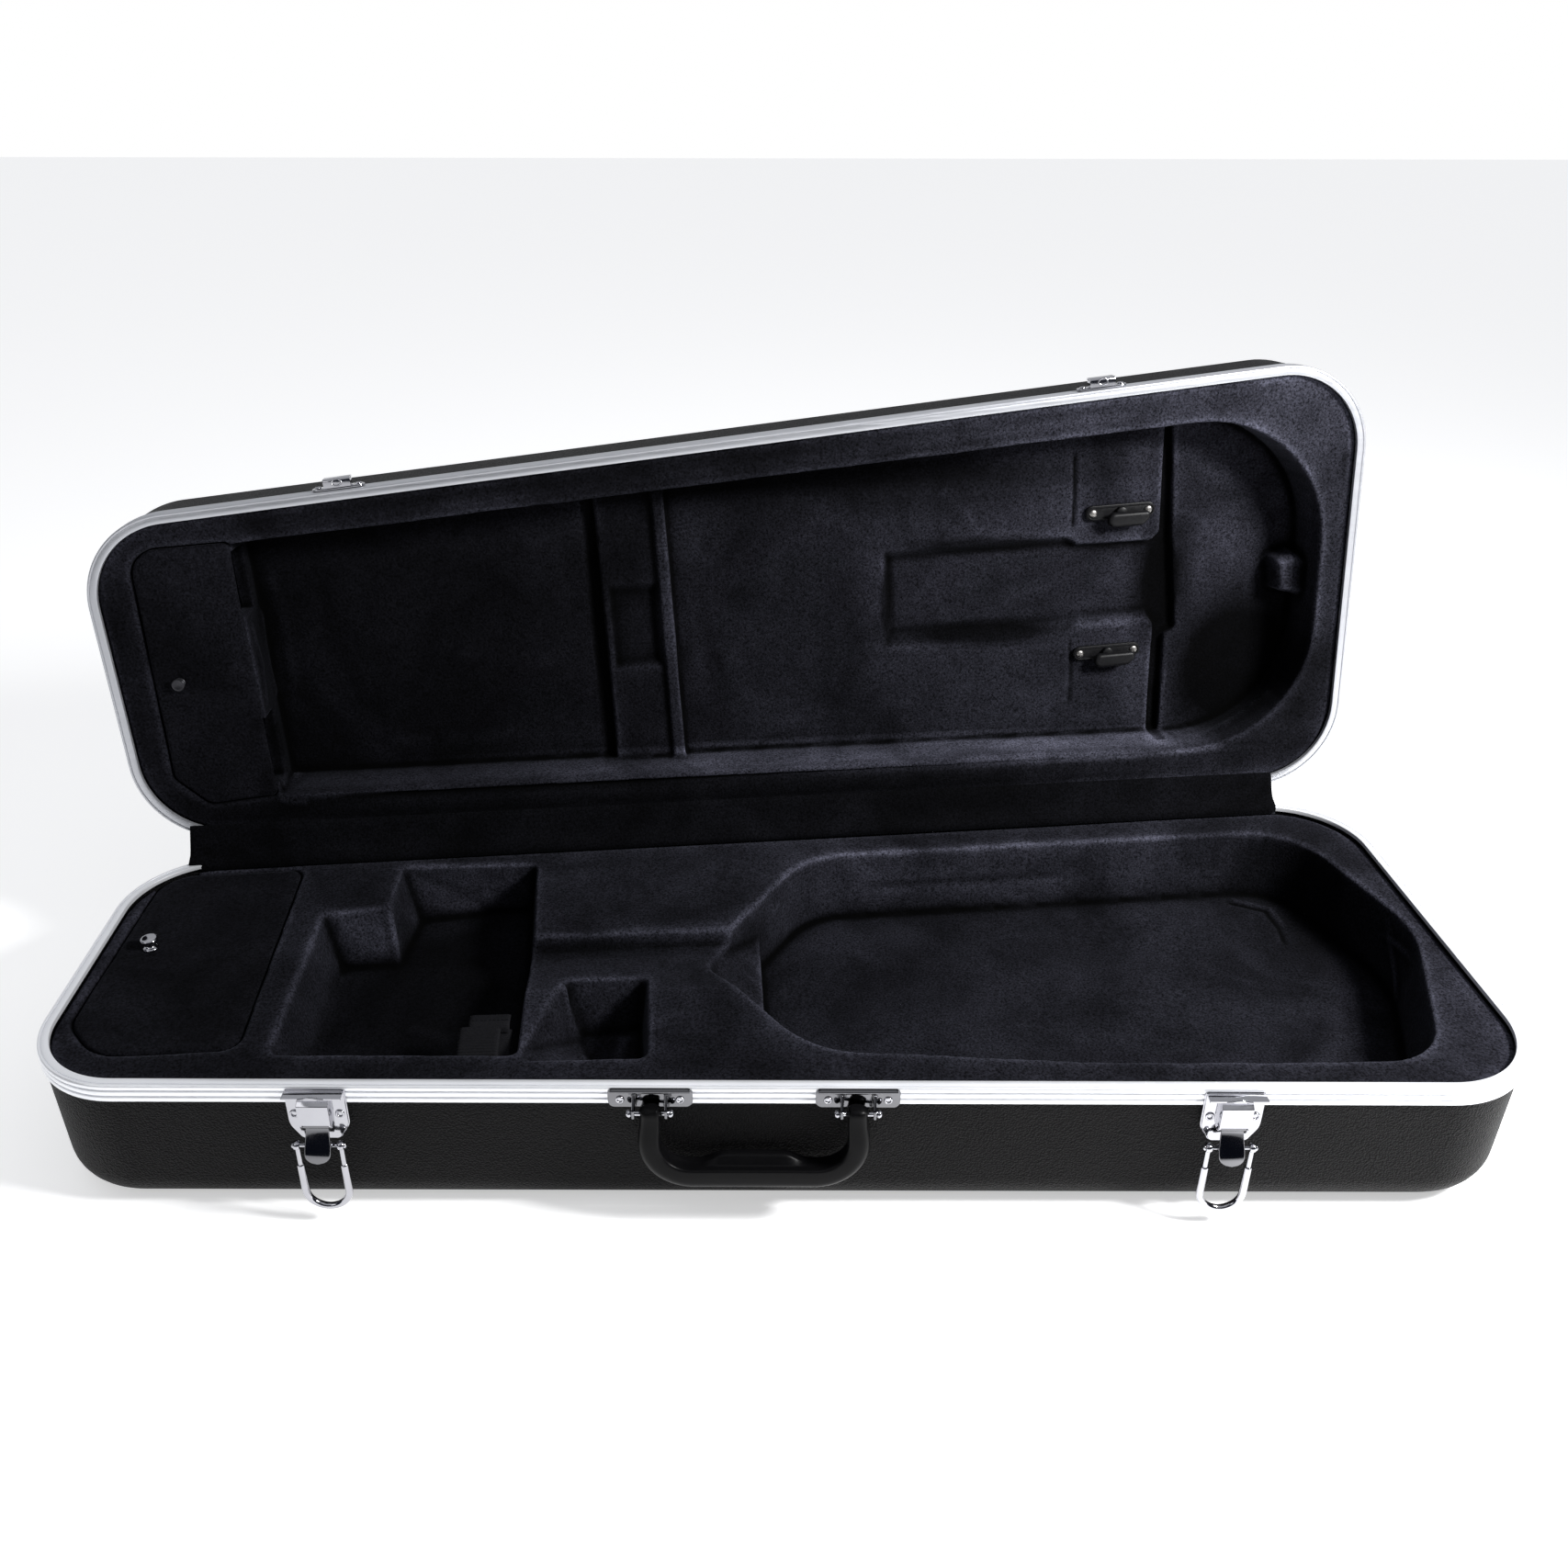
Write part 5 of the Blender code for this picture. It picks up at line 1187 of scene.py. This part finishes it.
for side, along in LATCHES.items():
    at = wall_frame(along, PLATE_IN)
    outline = [(-15, -1.9, 1.5), (-15, -24, 9), (-9.5, -33, 3), (9.5, -33, 3), (15, -24, 9), (15, -1.9, 1.5)]
    # The thin dark plate just larger than the latch plate is a painted contact shadow round its edge.
    parts = [plate("plate", outline, 0.0, PLATE, 0.35), tinted(plate("painted_shadow_line", inset(outline, -0.45), -0.15, 0.2, 0.05), 1)]
    parts.append(block("shelf", (-15.0, -3.1, 0.6), (15.0, -2.0, 6.6), 0.3))
    parts.append(wire("arch", [(-6.4, -2.6, 6.5), (-4.2, -2.1, 6.9), (-2.0, -1.2, 7.1), (0.0, -1.0, 7.1), (2.0, -1.2, 7.1), (4.2, -2.1, 6.9), (6.4, -2.6, 6.5)], [0.5, 0.55, 0.6, 0.6, 0.6, 0.55, 0.5], 12))
    # The dark block under the arch is painted shade in the opening.
    parts.append(tinted(block("painted_shade_slot", (-3.4, -3.0, 6.2), (3.4, -1.5, 6.85), 0.1), 1))
    parts += housing_parts()
    plate_piece = sharp(link(f"latch_pressing_{side}", moved(joined("latch", parts), at), CHROME, PAINTED_SHADE_BLACK), 35)
    shown(plate_piece, "base", [f"latch_plate_{side}"])
    for end, x in (("left", -11.6), ("right", 11.6)):
        eyelet(f"latch_eyelet_{side}_{end}", at @ shift(x, -16.5, PLATE - 0.1), "base", f"latch_rivet_{side}_{end}", 2.4)
    lever = sharp(link(f"latch_lever_tab_{side}", moved(lever_mesh(), front_frame(along, LEVER_OUT, LEVER_DROP)), SHADED), 40)
    shown(lever, f"lever_{side}", [f"latch_lever_{side}"])
    pin = lathe("pin", [(0.0, 14.2), (0.9, 14.0), (1.5, 13.4), (1.5, 12.9), (1.0, 12.6), (1.0, -12.6), (1.5, -12.9), (1.5, -13.4), (0.9, -14.0), (0.0, -14.2)], 18)
    pin = smooth(link(f"latch_bail_pin_turned_{side}", moved(pin, front_frame(along, BAIL_OUT, BAIL_DROP) @ Matrix.Rotation(PI / 2, 4, "Y")), CHROME))
    shown(pin, f"lever_{side}", [f"latch_bail_pin_{side}"])
    bail = sharp(link(f"latch_bail_wire_{side}", moved(bail_mesh(), front_frame(along, BAIL_OUT, BAIL_DROP)), CHROME), 45)
    shown(bail, f"bail_{side}", [f"latch_bail_{side}"])

    at = OPEN @ wall_frame(along, PLATE_IN)
    parts = [plate("foot", [(-15.5, 2.0, 3.8), (15.5, 2.0, 3.8), (15.5, 10.0, 3.8), (-15.5, 10.0, 3.8)], 0.0, PLATE, 0.35)]
    hook = [(0.5, 2.4, 0.3), (5.6, 2.4, 1.8), (6.5, 3.4, 1.2), (6.5, 9.5, 0.5), (5.3, 9.5, 0.4), (5.3, 4.6, 0.8), (4.6, 3.8, 0.6), (0.5, 3.8, 0.3)]
    parts.append(moved(plate("hook", hook, -8.0, 8.0, 0.3), ACROSS))
    for x in (-6.4, 6.4):
        parts.append(block("rib", (x - 1.5, 3.4, 0.9), (x + 1.5, 9.2, 5.9), 0.5))
    loop = [(2.9 * math.cos(2 * PI * k / 16), 1.9 * math.sin(2 * PI * k / 16)) for k in range(17)]
    parts.append(wire("ring", [(x, 2.6, 4.2 + y) for x, y in loop], [0.55] * 17, 10))
    # The dark block inside the hook is painted shade.
    parts.append(tinted(block("painted_shadow_gap", (-4.4, 4.2, 1.0), (4.4, 8.8, 5.35), 0.1), 1))
    catch = sharp(link(f"catch_pressing_{side}", moved(joined("catch", parts), at), CHROME, PAINTED_SHADE_BLACK), 40)
    shown(catch, "lid", [f"lid_catch_{side}"])
    for end, x in (("left", -11.9), ("right", 11.9)):
        eyelet(f"catch_eyelet_{side}_{end}", at @ shift(x, 6.0, PLATE - 0.1), "lid", f"catch_rivet_{side}_{end}", 1.9)

# ---------------------------------------------------------------- bow holders
DOWN = Matrix.Rotation(PI, 4, "X")
for side, (x, y) in {"front": (250.8, -49.6), "rear": (244.3, 47.6)}.items():
    at = OPEN @ shift(x, y, depth(41.0) - 0.2) @ DOWN
    capsule = [(-23.5, -5, 4.95), (23.5, -5, 4.95), (23.5, 5, 4.95), (-23.5, 5, 4.95)]
    parts = [plate("seat", capsule, 0.0, 2.4, 0.7, 8)]
    ring_o, ring_i = rounded(inset(capsule, 0.7), 8), rounded(inset(capsule, 1.7), 8)
    parts.append(rings_mesh("rail", [[Vector((p.x, p.y, z)) * MM for p in o] for o, z in ((ring_o, 2.0), (ring_o, 2.9), (rounded(inset(capsule, 0.95), 8), 3.15), (rounded(inset(capsule, 1.45), 8), 3.15), (ring_i, 2.9), (ring_i, 2.0))], loop=True))
    parts.append(lathe("post", [(3.6, 2.0), (3.6, 5.8), (3.2, 6.1), (0.0, 6.1)], 28))
    seat = sharp(link(f"bow_holder_seat_{side}", moved(joined("seat", parts), at), HOLDER), 40)
    shown(seat, "lid", [f"bow_holder_base_{side}"])
    for end, dx in (("left", -18.8), ("right", 18.8)):
        head = lathe("head", [(2.7, 2.3), (2.7, 2.9), (2.4, 3.3), (1.5, 3.65), (0.0, 3.75)], 28)
        # The dark cross bars on the screw head are painted shade for the cross recess.
        cross = [tinted(block("bar", (-1.5, -0.3, 3.3), (1.5, 0.3, 3.78), 0.08), 1), tinted(block("bar", (-0.3, -1.5, 3.3), (0.3, 1.5, 3.78), 0.08), 1)]
        screw = sharp(link(f"bow_screw_{side}_{end}", moved(joined("screw", [head] + cross), at @ shift(dx, 0, 0) @ Matrix.Rotation(0.5, 4, "Z")), STEEL, PAINTED_SHADE_BLACK), 40)
        shown(screw, "lid", [f"bow_holder_screw_{side}_{end}"])
    wing = [(-11.5, -9.0, 4.4), (13.0, -8.6, 6.0), (18, -4.0, 4.4), (18, 0.8, 3.0), (-9.0, 0.8, 4.0)]
    full = [rounded(inset(wing, d), 7) for d in (0.5, 0.0, 0.0, 0.5, 1.3, 2.4)]
    paddle = loft_mesh("wing", list(zip(full, (6.2, 6.7, 9.0, 9.8, 10.4, 10.6))))
    paddle = sharp(link(f"bow_paddle_{side}", moved(paddle, at), HOLDER), 50)
    shown(paddle, f"paddle_{side}", [f"bow_holder_paddle_{side}"])


# ---------------------------------------------------------------- studio
def area(name, place, aim, size, power, color=(1, 1, 1), spread=180):
    light = bpy.data.lights.new(name, "AREA")
    light.shape = "RECTANGLE"
    light.size, light.size_y = size
    light.energy = power
    light.color = color
    light.spread = math.radians(spread)
    obj = bpy.data.objects.new(name, light)
    scene.collection.objects.link(obj)
    obj.location = place
    obj.rotation_euler = (Vector(aim) - Vector(place)).to_track_quat("-Z", "Y").to_euler()
    return obj


bm = bmesh.new()
bmesh.ops.create_grid(bm, x_segments=1, y_segments=1, size=6.0)
floor_mesh = bpy.data.meshes.new("studio_floor")
bm.to_mesh(floor_mesh)
bm.free()
floor = link("studio_floor", floor_mesh)
floor.location.z = -0.0004
mat, nt, sh = new_material("studio_white")
sh.inputs["Base Color"].default_value = (0.9, 0.9, 0.9, 1)
sh.inputs["Roughness"].default_value = 0.9
sh.inputs["Specular IOR Level"].default_value = 0.1
sh.inputs["Emission Color"].default_value = (1.0, 1.0, 1.0, 1)
sh.inputs["Emission Strength"].default_value = 0.5
floor.data.materials.append(mat)
floor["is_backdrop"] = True

world = bpy.data.worlds.new("studio")
scene.world = world
world.use_nodes = True
nt = world.node_tree
bg = nt.nodes["Background"]
way = node(nt, "ShaderNodeSeparateXYZ")
nt.links.new(nt.nodes.new("ShaderNodeTexCoord").outputs["Generated"], way.inputs[0])
high = scaled(nt, way.outputs["Z"], 0.55, 0.8, 0.0, 1.0)
behind = scaled(nt, way.outputs["Y"], -0.05, 0.35, 0.0, 1.0)
pick = node(nt, "ShaderNodeMath", operation="MAXIMUM")
nt.links.new(high, pick.inputs[0])
nt.links.new(behind, pick.inputs[1])
tone = ramp(nt, pick.outputs["Value"], [(0.0, (0.016, 0.019, 0.030)), (1.0, (0.55, 0.56, 0.58))])
eye = nt.nodes.new("ShaderNodeLightPath")
mixed = node(nt, "ShaderNodeMix", data_type="RGBA")
nt.links.new(eye.outputs["Is Camera Ray"], mixed.inputs["Factor"])
nt.links.new(tone, mixed.inputs["A"])
mixed.inputs["B"].default_value = (1.0, 1.0, 1.0, 1.0)
nt.links.new(mixed.outputs["Result"], bg.inputs["Color"])
bg.inputs["Strength"].default_value = 1.0
area("key", (0.72, -0.34, 0.74), (0.12, 0.10, 0.14), (0.20, 0.20), 18.0)
area("left_fill", (-0.95, -0.75, 0.75), (-0.2, 0.05, 0.1), (0.5, 0.4), 1.0)

# ---------------------------------------------------------------- camera
az, el, roll = math.radians(-3.39), math.radians(27.2), math.radians(0.41)
back = Vector((math.sin(az) * math.cos(el), -math.cos(az) * math.cos(el), math.sin(el)))
look = -back
xr = look.cross(Vector((0, 0, 1))).normalized()
yu = xr.cross(look)
x2 = math.cos(roll) * xr + math.sin(roll) * yu
y2 = -math.sin(roll) * xr + math.cos(roll) * yu
cam_data = bpy.data.cameras.new("camera")
cam_data.sensor_width = 36.0
cam_data.lens = 1492.78 / 1707 * 36.0
cam_data.shift_x = (853.5 - 843.89) / 1707
cam_data.shift_y = (786.0 - 853.5) / 1707
cam_data.clip_start, cam_data.clip_end = 0.01, 50.0
cam = bpy.data.objects.new("camera", cam_data)
scene.collection.objects.link(cam)
cam.matrix_world = Matrix(((x2.x, y2.x, back.x, -0.0409), (x2.y, y2.y, back.y, -0.6520), (x2.z, y2.z, back.z, 0.5655), (0, 0, 0, 1)))
scene.camera = cam

scene.view_settings.view_transform = "Standard"
scene.view_settings.look = "None"
scene.view_settings.exposure = 0.0
scene.view_settings.gamma = 1.0

low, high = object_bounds()
